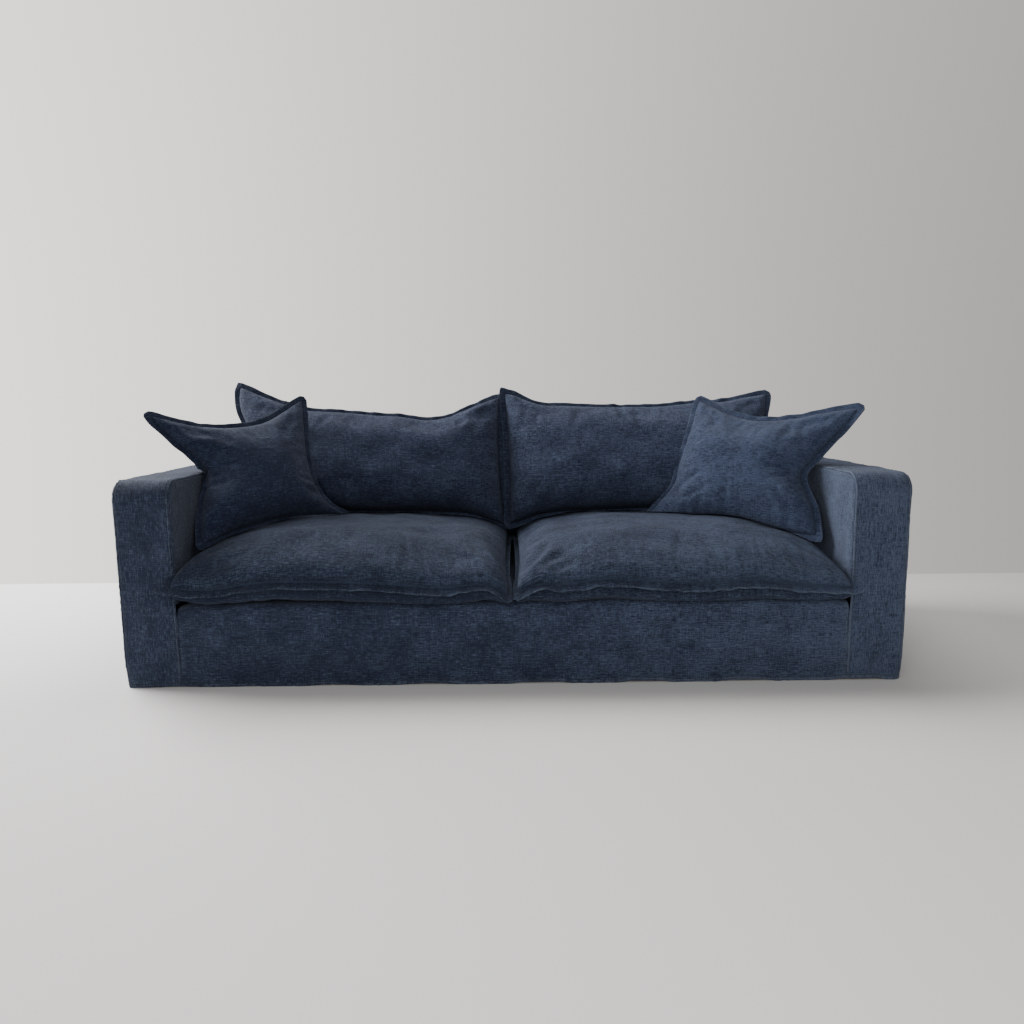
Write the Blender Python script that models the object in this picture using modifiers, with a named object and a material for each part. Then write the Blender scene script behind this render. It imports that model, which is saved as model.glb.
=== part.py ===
"""Loose fitted slipcover for a three-seat sofa, with its six cushions in the same cloth.

The cover is sewn from flat-cut panels: a front rail and a deck under the seat, an inside
back, a band over the back, an outside back, and for each arm an inside panel, an outside
panel and one long band that runs up the front and over the top. Two seat cushions, two
back cushions and two scatter cushions have a flat stitched flange all round.

Metres, +Z up, +X to the right as one faces the sofa, +Y to the back. The origin is on the
floor under the middle of the whole. Depths in this file are measured back from the plane
of the arm fronts, and each object's location brings them to the origin.
"""
import math
from dataclasses import dataclass

import bmesh
import bpy
import numpy as np
from mathutils import Vector
from mathutils.bvhtree import BVHTree

# Driving dimensions of the cover.
WIDTH = 2.410
DEPTH = 1.000
ARM_HEIGHT = 0.642
ARM_WIDTH = 0.179
DECK_HEIGHT = 0.262
BACK_THICKNESS = 0.180
CLOTH = 0.0025
FLANGE_REACH = 0.050
BACK_SWELL = 0.006

# Roundings of the stuffed forms that the cloth lies over.
ARM_FRONT_RADIUS = 0.060
OUTER_RADIUS = 0.014
INNER_RADIUS = 0.014
RAIL_RADIUS = 0.025
SEAM_ANGLE = math.radians(45.0)

# Gaps. A seam parts two panels by two seam gaps.
SEAM_GAP = 0.0014
FLAT_GAP = 0.0003
CUSHION_CLEARANCE = 0.004
EDGE_STAND_OFF = 0.010
EDGE_SPAN = 0.040

# Cushions.
FLANGE = 0.022
FLANGE_THICKNESS = 0.0044

HALF_WIDTH = WIDTH / 2
INNER_X = HALF_WIDTH - ARM_WIDTH
INSIDE_BACK = DEPTH - BACK_THICKNESS
FRONT_Y = (FLANGE_REACH - DEPTH - BACK_SWELL) / 2

# The band's inner edge lies flush with the rail up to the first height and is fully rolled
# over the arm's edge from the second.
FLUSH_BELOW = 0.200
ROLLED_ABOVE = 0.258

# Soft unevenness of the walls. Each row is a shallow swelling (or hollow, below zero) of the
# wall: the wall's name, its middle along the wall and up it, its reach each way, its height.
SLACK_COLUMNS = ("wall", "along", "up", "reach_along", "reach_up", "out")
SLACK = (
    ("front", -1.115, 0.300, 0.060, 0.160, 0.0035),
    ("front", 1.115, 0.300, 0.060, 0.160, 0.0035),
    ("front", -0.620, 0.120, 0.260, 0.070, 0.0030),
    ("front", -0.050, 0.090, 0.200, 0.080, -0.0020),
    ("front", 0.480, 0.150, 0.280, 0.060, 0.0030),
    ("front", 0.860, 0.070, 0.090, 0.090, -0.0020),
    ("left", 0.300, 0.150, 0.120, 0.220, 0.0050),
    ("left", 0.560, 0.160, 0.090, 0.200, -0.0050),
    ("left", 0.780, 0.200, 0.110, 0.220, 0.0050),
    ("right", 0.300, 0.150, 0.120, 0.220, 0.0050),
    ("right", 0.560, 0.160, 0.090, 0.200, -0.0050),
    ("right", 0.800, 0.140, 0.100, 0.240, 0.0060),
    ("back", -0.800, 0.160, 0.170, 0.200, 0.0060),
    ("back", -0.400, 0.120, 0.140, 0.240, -0.0050),
    ("back", 0.050, 0.160, 0.180, 0.220, 0.0050),
    ("back", 0.450, 0.110, 0.140, 0.240, -0.0050),
    ("back", 0.820, 0.160, 0.150, 0.220, 0.0060),
)
WALL_GRIP = 0.080
TUCK_HEIGHT = 0.100
TUCK_LEFT = 0.008
TUCK_RIGHT = 0.008
RAIL_DIP = 0.012
RAIL_DIP_REACH = 0.060

# Colours of the washed blue cloth, as the light finds each group of pieces.
COVER_COLOUR = (0.030, 0.052, 0.098)
SEAT_COLOUR = (0.036, 0.058, 0.104)
BACK_COLOUR = (0.031, 0.053, 0.102)
SCATTER_COLOUR = (0.027, 0.047, 0.094)
ROUGHNESS = 0.92


def interpolate(rows, position):
    """Smooth curve through (position, value, value, ...) rows, read at one position."""
    table = np.array(rows, dtype=float)
    places = table[:, 0]
    values = table[:, 1:]
    position = min(max(position, places[0]), places[-1])
    last = len(places) - 2
    index = int(min(max(np.searchsorted(places, position, side="right") - 1, 0), last))
    span = places[index + 1] - places[index]
    before = max(index - 1, 0)
    after = min(index + 2, len(places) - 1)
    slope_in = (values[index + 1] - values[before]) / (places[index + 1] - places[before])
    slope_out = (values[after] - values[index]) / (places[after] - places[index])
    part = (position - places[index]) / span
    square = part * part
    cube = square * part
    return (
        (2 * cube - 3 * square + 1) * values[index]
        + (cube - 2 * square + part) * span * slope_in
        + (3 * square - 2 * cube) * values[index + 1]
        + (cube - square) * span * slope_out
    )


def ease(low, high, value):
    """Goes smoothly from 0 at low to 1 at high."""
    part = min(max((value - low) / (high - low), 0.0), 1.0)
    return part * part * (3 - 2 * part)


def spread(start, end, count):
    """Evenly spaced stations from start to end, both included."""
    return [start + (end - start) * step / count for step in range(count + 1)]


def uneven(x, back, up):
    """Moves a point of the cover off its true form, as washed cloth hangs."""
    grips = {
        "front": (1 - back / WALL_GRIP, x),
        "back": (1 - (DEPTH - back) / WALL_GRIP, x),
        "left": (1 - (x + HALF_WIDTH) / WALL_GRIP, back),
        "right": (1 - (HALF_WIDTH - x) / WALL_GRIP, back),
    }
    out = {wall: 0.0 for wall in grips}
    for row in SLACK:
        slack = dict(zip(SLACK_COLUMNS, row))
        grip, along = grips[slack["wall"]]
        if grip > 0:
            across = (along - slack["along"]) / slack["reach_along"]
            height = (up - slack["up"]) / slack["reach_up"]
            swell = math.exp(-across * across - height * height)
            out[slack["wall"]] += min(grip, 1.0) * slack["out"] * swell
    fade = ease(ARM_HEIGHT, ARM_HEIGHT - 0.120, up)
    front_edge = ease(0.0, ARM_FRONT_RADIUS, back) if abs(x) > INNER_X else 1.0
    back_edge = ease(DEPTH, DEPTH - ARM_FRONT_RADIUS, back)
    side_edge = ease(HALF_WIDTH, HALF_WIDTH - 0.050, abs(x))
    tuck = TUCK_LEFT if x < 0 else TUCK_RIGHT
    low = max(1 - up / TUCK_HEIGHT, 0.0)
    tucked = tuck * low * low * ease(INNER_X, HALF_WIDTH, abs(x))
    sides = out["right"] - out["left"]
    x += sides * fade * front_edge * back_edge - math.copysign(tucked, x)
    back += (out["back"] - out["front"]) * fade * side_edge
    return x, back, up


def edge_roll(depth, radius, weight=1.0):
    """How far a sheet stands in from the edge and drops below its plane in the edge's roll.

    depth runs from radius, where the roll starts, to 0 at the seam.
    """
    part = 1 - max(depth, 0.0) / radius
    if part <= 0:
        return depth, 0.0
    angle = SEAM_ANGLE * part
    inset = radius * (1 - weight * math.sin(angle) - (1 - weight) * part)
    return inset, weight * radius * (1 - math.cos(angle))


def new_material(name, colour):
    """Principled material of one cloth colour."""
    material = bpy.data.materials.new(name)
    material.use_nodes = True
    shader = material.node_tree.nodes["Principled BSDF"]
    shader.inputs["Base Color"].default_value = (*colour, 1.0)
    shader.inputs["Roughness"].default_value = ROUGHNESS
    shader.inputs["Metallic"].default_value = 0.0
    return material


def add_object(name, mesh_data, material, collection):
    """Puts a finished bmesh in the scene as one object."""
    mesh = bpy.data.meshes.new(name)
    mesh_data.to_mesh(mesh)
    mesh_data.free()
    mesh.materials.append(material)
    mesh.shade_smooth()
    piece = bpy.data.objects.new(name, mesh)
    piece.location = (0.0, FRONT_Y, 0.0)
    collection.objects.link(piece)
    return piece


def add_panel(name, columns, rows, shape, material, collection, flip=False):
    """One panel of cloth: a grid shaped by shape(column, row), with its thickness inwards."""
    grid = bmesh.new()
    bmesh.ops.create_grid(grid, x_segments=len(columns) - 1, y_segments=len(rows) - 1, size=0.5)
    for vertex in grid.verts:
        column = columns[round((vertex.co.x + 0.5) * (len(columns) - 1))]
        row = rows[round((vertex.co.y + 0.5) * (len(rows) - 1))]
        vertex.co = Vector(uneven(*shape(column, row)))
    if flip:
        bmesh.ops.reverse_faces(grid, faces=grid.faces[:])
    piece = add_object(name, grid, material, collection)
    thickness = piece.modifiers.new("Cloth thickness", "SOLIDIFY")
    thickness.thickness = CLOTH
    thickness.offset = -1.0
    thickness.use_even_offset = True
    return piece


def path_point(path, distance):
    """Point and outward direction on a side-view path of straight runs and round corners.

    path is a list of (kind, length, start, direction or centre, start angle, radius).
    """
    for run in path:
        if distance <= run["length"] or run is path[-1]:
            break
        distance -= run["length"]
    if run["kind"] == "straight":
        heading = run["heading"]
        point = (run["start"][0] + heading[0] * distance, run["start"][1] + heading[1] * distance)
        return point, (-heading[1], heading[0])
    angle = run["from_angle"] - distance / run["radius"]
    outward = (math.cos(angle), math.sin(angle))
    centre = run["centre"]
    return (centre[0] + run["radius"] * outward[0], centre[1] + run["radius"] * outward[1]), outward


def straight(start, end):
    """Straight run of a side-view path."""
    length = math.dist(start, end)
    heading = ((end[0] - start[0]) / length, (end[1] - start[1]) / length)
    return {"kind": "straight", "length": length, "start": start, "heading": heading}


def turn(centre, radius, from_angle, to_angle):
    """Round corner of a side-view path, turning towards smaller angles."""
    return {
        "kind": "turn",
        "length": radius * (from_angle - to_angle),
        "centre": centre,
        "radius": radius,
        "from_angle": from_angle,
    }


def path_stations(path, counts):
    """Distances along a path, each run split into its own number of equal steps."""
    stations = [0.0]
    start = 0.0
    for run, count in zip(path, counts):
        stations += [start + run["length"] * step / count for step in range(1, count + 1)]
        start += run["length"]
    return stations


def arm_band(side, material, collection):
    """The long band of one arm: up the front, over the top and back to the outside back."""
    front_top = ARM_HEIGHT - ARM_FRONT_RADIUS
    back_end = DEPTH - OUTER_RADIUS
    path = [
        straight((0.0, 0.0), (0.0, front_top)),
        turn((ARM_FRONT_RADIUS, front_top), ARM_FRONT_RADIUS, math.pi, math.pi / 2),
        straight((ARM_FRONT_RADIUS, ARM_HEIGHT), (back_end, ARM_HEIGHT)),
        turn((back_end, ARM_HEIGHT - OUTER_RADIUS), OUTER_RADIUS, math.pi / 2, math.pi / 4),
    ]
    rows = path_stations(path, (7, 6, 9, 3))
    rows[-1] -= SEAM_GAP
    inner = INNER_X + SEAM_GAP
    outer = HALF_WIDTH - SEAM_GAP
    inner_steps = [inner, inner + INNER_RADIUS / 2, inner + INNER_RADIUS]
    outer_steps = [outer - OUTER_RADIUS, outer - OUTER_RADIUS * 2 / 3, outer - OUTER_RADIUS / 3, outer]
    middle = (inner_steps[-1] + outer_steps[0]) / 2
    columns = inner_steps + [middle] + outer_steps

    def shape(across, along):
        point, outward = path_point(path, along)
        rolled = ease(FLUSH_BELOW, ROLLED_ABOVE, point[1])
        rolled *= 1 - ease(INSIDE_BACK - INNER_RADIUS, INSIDE_BACK + INNER_RADIUS, point[0])
        if across < middle:
            inset, drop = edge_roll(across - inner, INNER_RADIUS, rolled)
            across = INNER_X + FLAT_GAP + inset + (SEAM_GAP - FLAT_GAP) * rolled
        else:
            inset, drop = edge_roll(outer - across, OUTER_RADIUS)
            across = outer - inset
        return side * across, point[0] - outward[0] * drop, point[1] - outward[1] * drop

    name = "arm_band_right" if side > 0 else "arm_band_left"
    return add_panel(name, columns, rows, shape, material, collection, flip=side < 0)


def around_corner(from_front, from_top, radius):
    """Depth under a rounded outline and the outline's outward direction, near its corner."""
    if from_front >= radius or from_top >= radius:
        if from_front < from_top:
            return from_front, (-1.0, 0.0)
        return from_top, (0.0, 1.0)
    sideways = (radius - from_front) / radius
    upwards = (radius - from_top) / radius
    round_side = sideways * math.sqrt(1 - upwards * upwards / 2)
    round_up = upwards * math.sqrt(1 - sideways * sideways / 2)
    reach = math.hypot(round_side, round_up)
    if reach == 0:
        return radius, (0.0, 1.0)
    return (1 - reach) * radius, (-round_side / reach, round_up / reach)


def side_panel_point(back, up, front_radius, rear_radius, roll_radius, rear_limit):
    """Place in side view and drop of a point of an arm's side panel, rolled at its edges."""
    top = ARM_HEIGHT - up
    if rear_radius and back > rear_limit / 2:
        depth, outward = around_corner(rear_limit - back, top, rear_radius)
        outward = (-outward[0], outward[1])
        corner = (rear_limit - rear_radius, ARM_HEIGHT - rear_radius)
        in_corner = rear_limit - back < rear_radius and top < rear_radius
        reach = rear_radius
    else:
        depth, outward = around_corner(back, top, front_radius)
        corner = (front_radius, ARM_HEIGHT - front_radius)
        in_corner = back < front_radius and top < front_radius
        reach = front_radius
    if in_corner:
        back = corner[0] + outward[0] * (reach - depth)
        up = corner[1] + outward[1] * (reach - depth)
    inset, drop = edge_roll(depth, roll_radius)
    shift = min(depth, roll_radius) - min(inset, roll_radius)
    if depth < roll_radius:
        back += outward[0] * shift
        up += outward[1] * shift
    return back, up, drop


def arm_outside(side, material, collection):
    """The flat panel on the outer side of one arm, from its rolled edges to the hem."""
    gap = SEAM_GAP
    edge = [gap, OUTER_RADIUS / 3, OUTER_RADIUS * 2 / 3, OUTER_RADIUS, ARM_FRONT_RADIUS * 0.73]
    columns = edge + [ARM_FRONT_RADIUS] + spread(0.170, 0.860, 6)
    columns += [DEPTH - place for place in reversed(edge[:4])]
    rows = [0.0] + spread(0.090, 0.520, 5)
    rows += [ARM_HEIGHT - place for place in [ARM_FRONT_RADIUS] + edge[::-1]]

    def shape(back, up):
        back, up, drop = side_panel_point(
            back, up, ARM_FRONT_RADIUS, OUTER_RADIUS, OUTER_RADIUS, DEPTH
        )
        return side * (HALF_WIDTH - drop), back, up

    name = "arm_outside_right" if side > 0 else "arm_outside_left"
    return add_panel(name, columns, rows, shape, material, collection, flip=side < 0)


def arm_inside(side, material, collection):
    """The panel on the inner side of one arm, from the deck up."""
    edge = [SEAM_GAP, INNER_RADIUS / 2, INNER_RADIUS, ARM_FRONT_RADIUS * 0.55]
    columns = edge + [ARM_FRONT_RADIUS] + spread(0.170, INSIDE_BACK - CLOTH, 5)
    rows = spread(DECK_HEIGHT + FLAT_GAP, 0.500, 3)
    rows += [ARM_HEIGHT - place for place in [ARM_FRONT_RADIUS] + edge[::-1]]

    def shape(back, up):
        back, up, drop = side_panel_point(
            back, up, ARM_FRONT_RADIUS, 0.0, INNER_RADIUS, DEPTH * 2
        )
        return side * (INNER_X + drop), back, up

    name = "arm_inside_right" if side > 0 else "arm_inside_left"
    return add_panel(name, columns, rows, shape, material, collection, flip=side > 0)


def front_rail(material, collection):
    """The front panel between the arms, rolled over the seat rail to the deck."""
    top = DECK_HEIGHT - RAIL_RADIUS
    path = [
        straight((0.0, 0.0), (0.0, top)),
        turn((RAIL_RADIUS, top), RAIL_RADIUS, math.pi, math.pi / 2),
        straight((RAIL_RADIUS, DECK_HEIGHT), (2 * RAIL_RADIUS, DECK_HEIGHT)),
    ]
    rows = path_stations(path, (5, 4, 1))
    rows[-1] -= FLAT_GAP
    end = INNER_X - FLAT_GAP
    ends = [end, end - 0.030, end - 0.070]
    columns = [-place for place in ends] + spread(-0.800, 0.800, 10) + ends[::-1]

    def shape(across, along):
        point, _ = path_point(path, along)
        beside_arm = ease(INNER_X - RAIL_DIP_REACH, INNER_X, abs(across))
        dip = RAIL_DIP * beside_arm * ease(DECK_HEIGHT / 2, DECK_HEIGHT, point[1])
        return across, point[0], point[1] - dip

    return add_panel("front_rail", columns, rows, shape, material, collection)


def deck(material, collection):
    """The flat panel under the seat cushions."""
    end = INNER_X - FLAT_GAP
    ends = [end, end - 0.030, end - 0.070]
    columns = [-place for place in ends] + [-0.600, 0.0, 0.600] + ends[::-1]
    rows = spread(2 * RAIL_RADIUS + FLAT_GAP, INSIDE_BACK - FLAT_GAP, 2)

    def shape(across, back):
        beside_arm = ease(INNER_X - RAIL_DIP_REACH, INNER_X, abs(across))
        dip = RAIL_DIP * beside_arm * (1 - ease(0.060, 0.200, back))
        return across, back, DECK_HEIGHT - dip

    return add_panel("deck", columns, rows, shape, material, collection)


def inside_back(material, collection):
    """The panel in front of the sofa's back, from the deck up."""
    end = INNER_X - FLAT_GAP
    columns = spread(-end, end, 8)
    edge = [INNER_RADIUS, INNER_RADIUS / 2, SEAM_GAP]
    rows = spread(DECK_HEIGHT + FLAT_GAP, 0.560, 2) + [ARM_HEIGHT - place for place in edge]

    def shape(across, up):
        inset, drop = edge_roll(ARM_HEIGHT - up, INNER_RADIUS)
        height = ARM_HEIGHT - inset if drop else up
        return across, INSIDE_BACK + drop, height

    return add_panel("inside_back", columns, rows, shape, material, collection)


def back_band(material, collection):
    """The band over the top of the sofa's back, between the two arm bands."""
    front_edge = INSIDE_BACK + INNER_RADIUS
    rear_edge = DEPTH - OUTER_RADIUS
    half_turn = math.pi / 2
    path = [
        turn((front_edge, ARM_HEIGHT - INNER_RADIUS), INNER_RADIUS, 1.5 * half_turn, half_turn),
        straight((front_edge, ARM_HEIGHT), (rear_edge, ARM_HEIGHT)),
        turn((rear_edge, ARM_HEIGHT - OUTER_RADIUS), OUTER_RADIUS, half_turn, half_turn / 2),
    ]
    rows = path_stations(path, (2, 2, 3))
    rows[0] += SEAM_GAP
    rows[-1] -= SEAM_GAP
    end = INNER_X - FLAT_GAP
    columns = spread(-end, end, 8)

    def shape(across, along):
        point, _ = path_point(path, along)
        return across, point[0], point[1]

    return add_panel("back_band", columns, rows, shape, material, collection)


def outside_back(material, collection):
    """The full-width panel behind the sofa, from the top seam to the hem."""
    rear_edge = DEPTH - OUTER_RADIUS
    path = [
        turn((rear_edge, ARM_HEIGHT - OUTER_RADIUS), OUTER_RADIUS, math.pi / 4, 0.0),
        straight((DEPTH, ARM_HEIGHT - OUTER_RADIUS), (DEPTH, 0.0)),
    ]
    rows = path_stations(path, (3, 6))
    rows[0] += SEAM_GAP
    outer = HALF_WIDTH - SEAM_GAP
    edge = [outer, outer - OUTER_RADIUS / 3, outer - OUTER_RADIUS * 2 / 3, outer - OUTER_RADIUS]
    columns = [-place for place in edge] + spread(-1.000, 1.000, 10) + edge[::-1]

    def shape(across, along):
        point, outward = path_point(path, along)
        inset, drop = edge_roll(outer - abs(across), OUTER_RADIUS)
        if drop:
            across = math.copysign(outer - inset, across)
        return across, point[0] - outward[0] * drop, point[1] - outward[1] * drop

    return add_panel("outside_back", columns, rows, shape, material, collection)


@dataclass(frozen=True)
class Cushion:
    """One filled cushion with a stitched flange, laid out on its own flat plane.

    On that plane a runs across, b up the cushion's face, and lift towards its front.
    Corners are in the order bottom left, bottom right, top right, top left. An edge's rows
    are (place along it, how far the seam is drawn in, seam's lift, flange's further lift).
    """

    name: str
    centre: tuple
    across: tuple
    up: tuple
    seam_corners: tuple
    flange_tips: tuple
    bottom: tuple
    right: tuple
    top: tuple
    left: tuple
    front_height: float
    back_height: float
    fullness: float
    shoulder: float
    back_shoulder: float
    belly: float = 0.0
    low_weight: float = 0.0
    columns: int = 16
    rows: int = 12
    crowding: float = 1.0


PLAIN_EDGE = ((0.0, 0.0, 0.0, 0.0), (1.0, 0.0, 0.0, 0.0))


def seam_point(cushion, edge, part):
    """Seam point (a, b, lift) and the flange's further lift, part of the way along an edge."""
    bottom_left, bottom_right, top_right, top_left = cushion.seam_corners
    ends = {
        "bottom": (bottom_left, bottom_right, cushion.bottom, (0.0, 1.0)),
        "top": (top_left, top_right, cushion.top, (0.0, -1.0)),
        "left": (bottom_left, top_left, cushion.left, (1.0, 0.0)),
        "right": (bottom_right, top_right, cushion.right, (-1.0, 0.0)),
    }
    start, end, rows, inward = ends[edge]
    inset, lift, flange_lift = interpolate(rows, part)
    point = np.array(start) * (1 - part) + np.array(end) * part
    point += np.array((inward[0] * inset, inward[1] * inset, lift))
    return point, flange_lift


def body_point(cushion, across, upward):
    """Point of the plane inside the seam, blended from the four edges."""
    corners = [np.array(corner) for corner in cushion.seam_corners]
    bottom, _ = seam_point(cushion, "bottom", across)
    top, _ = seam_point(cushion, "top", across)
    left, _ = seam_point(cushion, "left", upward)
    right, _ = seam_point(cushion, "right", upward)
    flat = (1 - upward) * ((1 - across) * corners[0] + across * corners[1])
    flat += upward * ((1 - across) * corners[3] + across * corners[2])
    return (1 - upward) * bottom + upward * top + (1 - across) * left + across * right - flat


def crown(part, fullness, shoulder):
    """How full the cushion is, 0 at a seam and 1 in the middle, for part from 0 to 1."""
    off_middle = min(abs(2 * part - 1), 1.0)
    return (1 - off_middle**fullness) ** (1 / shoulder)


def cushion_point(cushion, across, upward, face):
    """Point (a, b, lift) on one face. across and upward leave 0..1 on the flange."""
    inner_across = min(max(across, 0.0), 1.0)
    inner_upward = min(max(upward, 0.0), 1.0)
    point = body_point(cushion, inner_across, inner_upward)
    half_flange = FLANGE_THICKNESS / 2
    out_side = -1 if across < 0 else 1 if across > 1 else 0
    out_up = -1 if upward < 0 else 1 if upward > 1 else 0
    if out_side and out_up:
        corner = {(-1, -1): 0, (1, -1): 1, (1, 1): 2, (-1, 1): 3}[(out_side, out_up)]
        point = point + np.array(cushion.flange_tips[corner])
    elif out_side:
        _, lift = seam_point(cushion, "left" if out_side < 0 else "right", inner_upward)
        point = point + np.array((out_side * FLANGE, 0.0, lift))
    elif out_up:
        _, lift = seam_point(cushion, "bottom" if out_up < 0 else "top", inner_across)
        point = point + np.array((0.0, out_up * FLANGE, lift))
    else:
        shoulder = cushion.shoulder if face > 0 else cushion.back_shoulder
        full = crown(inner_across, cushion.fullness, shoulder)
        full *= crown(inner_upward, cushion.fullness, shoulder)
        full *= 1 + cushion.low_weight * (0.5 - inner_upward)
        height = cushion.front_height if face > 0 else cushion.back_height
        bulge = 4 * full * (1 - full) * cushion.belly if full < 1 else 0.0
        side = 2 * inner_across - 1
        rise = 2 * inner_upward - 1
        point = point + np.array((bulge * side**9, bulge * rise**9, face * height * full))
    return point + np.array((0.0, 0.0, face * half_flange))


def stations(count, crowding):
    """Flange, seam, then stations that crowd towards the seams, seam, flange."""
    body = []
    for step in range(count + 1):
        even = step / count
        crowded = 0.5 + 0.5 * math.sin(math.pi * (even - 0.5))
        body.append(even + (crowded - even) * crowding)
    return [-1.0] + body + [2.0]


def add_cushion(cushion, material, collection, rests, limits):
    """Builds one cushion as a closed body and settles it against its neighbours.

    rests holds (mesh tree, direction) pairs: the cushion is pushed back against the
    direction until it clears that neighbour. limits are functions that correct a point.
    """
    columns = stations(cushion.columns, cushion.crowding)
    rows = stations(cushion.rows, cushion.crowding)
    across = Vector(cushion.across).normalized()
    up = Vector(cushion.up)
    up = (up - across * up.dot(across)).normalized()
    front = across.cross(up)
    slab = bmesh.new()
    bmesh.ops.create_grid(slab, x_segments=len(columns) - 1, y_segments=len(rows) - 1, size=0.5)
    raised = bmesh.ops.extrude_face_region(slab, geom=slab.faces[:])["geom"]
    front_verts = {item for item in raised if isinstance(item, bmesh.types.BMVert)}
    for vertex in slab.verts:
        column = columns[round((vertex.co.x + 0.5) * (len(columns) - 1))]
        row = rows[round((vertex.co.y + 0.5) * (len(rows) - 1))]
        face = 1.0 if vertex in front_verts else -1.0
        a, b, lift = cushion_point(cushion, column, row, face)
        place = Vector(cushion.centre) + across * a + up * b + front * lift
        for tree, direction in rests:
            place = clear_of(place, tree, direction)
        for limit in limits:
            place = limit(place)
        vertex.co = place
    bmesh.ops.recalc_face_normals(slab, faces=slab.faces[:])
    return add_object(cushion.name, slab, material, collection)


def clear_of(place, tree, direction):
    """Moves a point back against a direction until it is clear of a neighbour's surface."""
    heading = Vector(direction)
    far = 3.0
    start = place - heading * far
    hit, _, _, distance = tree.ray_cast(start, heading)
    if hit is None or distance > far + CUSHION_CLEARANCE:
        return place
    return start + heading * (distance - CUSHION_CLEARANCE)


def mesh_tree(piece):
    """Search tree of an object's mesh, in the depths of this file."""
    return BVHTree.FromPolygons(
        [vertex.co.copy() for vertex in piece.data.vertices],
        [tuple(face.vertices) for face in piece.data.polygons],
    )


def on_deck(place):
    """Keeps a point above the deck."""
    return Vector((place.x, place.y, max(place.z, DECK_HEIGHT + FLAT_GAP)))


def inside_arms(place):
    """Keeps a point clear of the arms: beside them below their top, or above their top.

    Near the arm's top edge the point stands further off, because the cloth spans the edge.
    """
    if place.y < -CUSHION_CLEARANCE:
        return place
    beyond = abs(place.x) - INNER_X + CUSHION_CLEARANCE
    below = ARM_HEIGHT + CUSHION_CLEARANCE - place.z
    if beyond < below:
        stand_off = EDGE_STAND_OFF * max(1 - abs(below) / EDGE_SPAN, 0.0)
        across = min(abs(place.x), INNER_X - CUSHION_CLEARANCE - stand_off)
        return Vector((math.copysign(across, place.x), place.y, place.z))
    stand_off = EDGE_STAND_OFF * max(1 - abs(beyond) / EDGE_SPAN, 0.0)
    height = ARM_HEIGHT + CUSHION_CLEARANCE + stand_off
    return Vector((place.x, place.y, max(place.z, height)))


def before_back(place):
    """Keeps a point in front of the inside back, or above it."""
    over = ARM_HEIGHT + CUSHION_CLEARANCE
    if place.z > over - (place.y - INSIDE_BACK) or place.y < INSIDE_BACK - CUSHION_CLEARANCE:
        return place
    return Vector((place.x, INSIDE_BACK - CUSHION_CLEARANCE, place.z))


SEAT_LEFT = Cushion(
    name="seat_cushion_left",
    centre=(-0.515, 0.3785, 0.320),
    across=(1.0, 0.0, 0.0),
    up=(0.0, 1.0, 0.0),
    seam_corners=((-0.482, -0.406, -0.002), (0.490, -0.406, -0.028), (0.490, 0.408, 0.012),
                  (-0.482, 0.408, 0.012)),
    flange_tips=((-0.071, -0.0225, -0.011), (0.022, -0.0185, -0.018), (0.020, 0.022, 0.0),
                 (-0.018, 0.022, 0.0)),
    bottom=(
        (0.00, 0.000, 0.000, -0.010),
        (0.09, 0.000, -0.006, -0.010),
        (0.25, 0.000, 0.017, -0.008),
        (0.40, 0.000, 0.021, -0.008),
        (0.60, 0.000, 0.020, -0.008),
        (0.80, 0.000, 0.010, -0.010),
        (0.90, 0.000, 0.022, -0.006),
        (0.95, 0.000, 0.026, -0.002),
        (1.00, 0.000, 0.000, -0.014),
    ),
    right=((0.0, 0.0, 0.0, -0.004), (0.3, 0.006, 0.018, 0.0), (1.0, 0.0, 0.0, 0.0)),
    top=PLAIN_EDGE,
    left=((0.0, 0.0, 0.0, 0.004), (0.06, 0.0, 0.024, 0.006), (0.2, 0.0, 0.034, 0.008),
          (0.6, 0.004, 0.020, 0.006), (1.0, 0.0, 0.0, 0.0)),
    front_height=0.114,
    back_height=0.090,
    fullness=2.6,
    shoulder=3.2,
    back_shoulder=5.0,
    belly=0.018,
)

SEAT_RIGHT = Cushion(
    name="seat_cushion_right",
    centre=(0.515, 0.3785, 0.320),
    across=(1.0, 0.0, 0.0),
    up=(0.0, 1.0, 0.0),
    seam_corners=((-0.490, -0.406, -0.022), (0.482, -0.406, -0.020), (0.482, 0.408, 0.012),
                  (-0.490, 0.408, 0.012)),
    flange_tips=((-0.022, -0.0185, -0.013), (0.048, -0.0205, -0.012), (0.018, 0.022, 0.0),
                 (-0.020, 0.022, 0.0)),
    bottom=(
        (0.00, 0.000, 0.000, -0.012),
        (0.05, 0.000, 0.020, -0.004),
        (0.14, 0.000, 0.016, -0.008),
        (0.27, 0.000, 0.030, -0.008),
        (0.42, 0.000, 0.020, -0.010),
        (0.56, 0.000, 0.012, -0.010),
        (0.70, 0.000, 0.020, -0.008),
        (0.78, 0.000, 0.018, -0.010),
        (0.88, 0.000, 0.006, -0.010),
        (1.00, 0.000, 0.000, -0.008),
    ),
    right=((0.0, 0.0, 0.0, 0.0), (0.08, 0.0, 0.012, 0.004), (0.2, 0.0, 0.024, 0.006),
           (0.6, 0.004, 0.016, 0.006), (1.0, 0.0, 0.0, 0.0)),
    top=PLAIN_EDGE,
    left=((0.0, 0.0, 0.0, -0.004), (0.3, 0.006, 0.018, 0.0), (1.0, 0.0, 0.0, 0.0)),
    front_height=0.114,
    back_height=0.090,
    fullness=2.6,
    shoulder=3.2,
    back_shoulder=5.0,
    belly=0.018,
)

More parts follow.
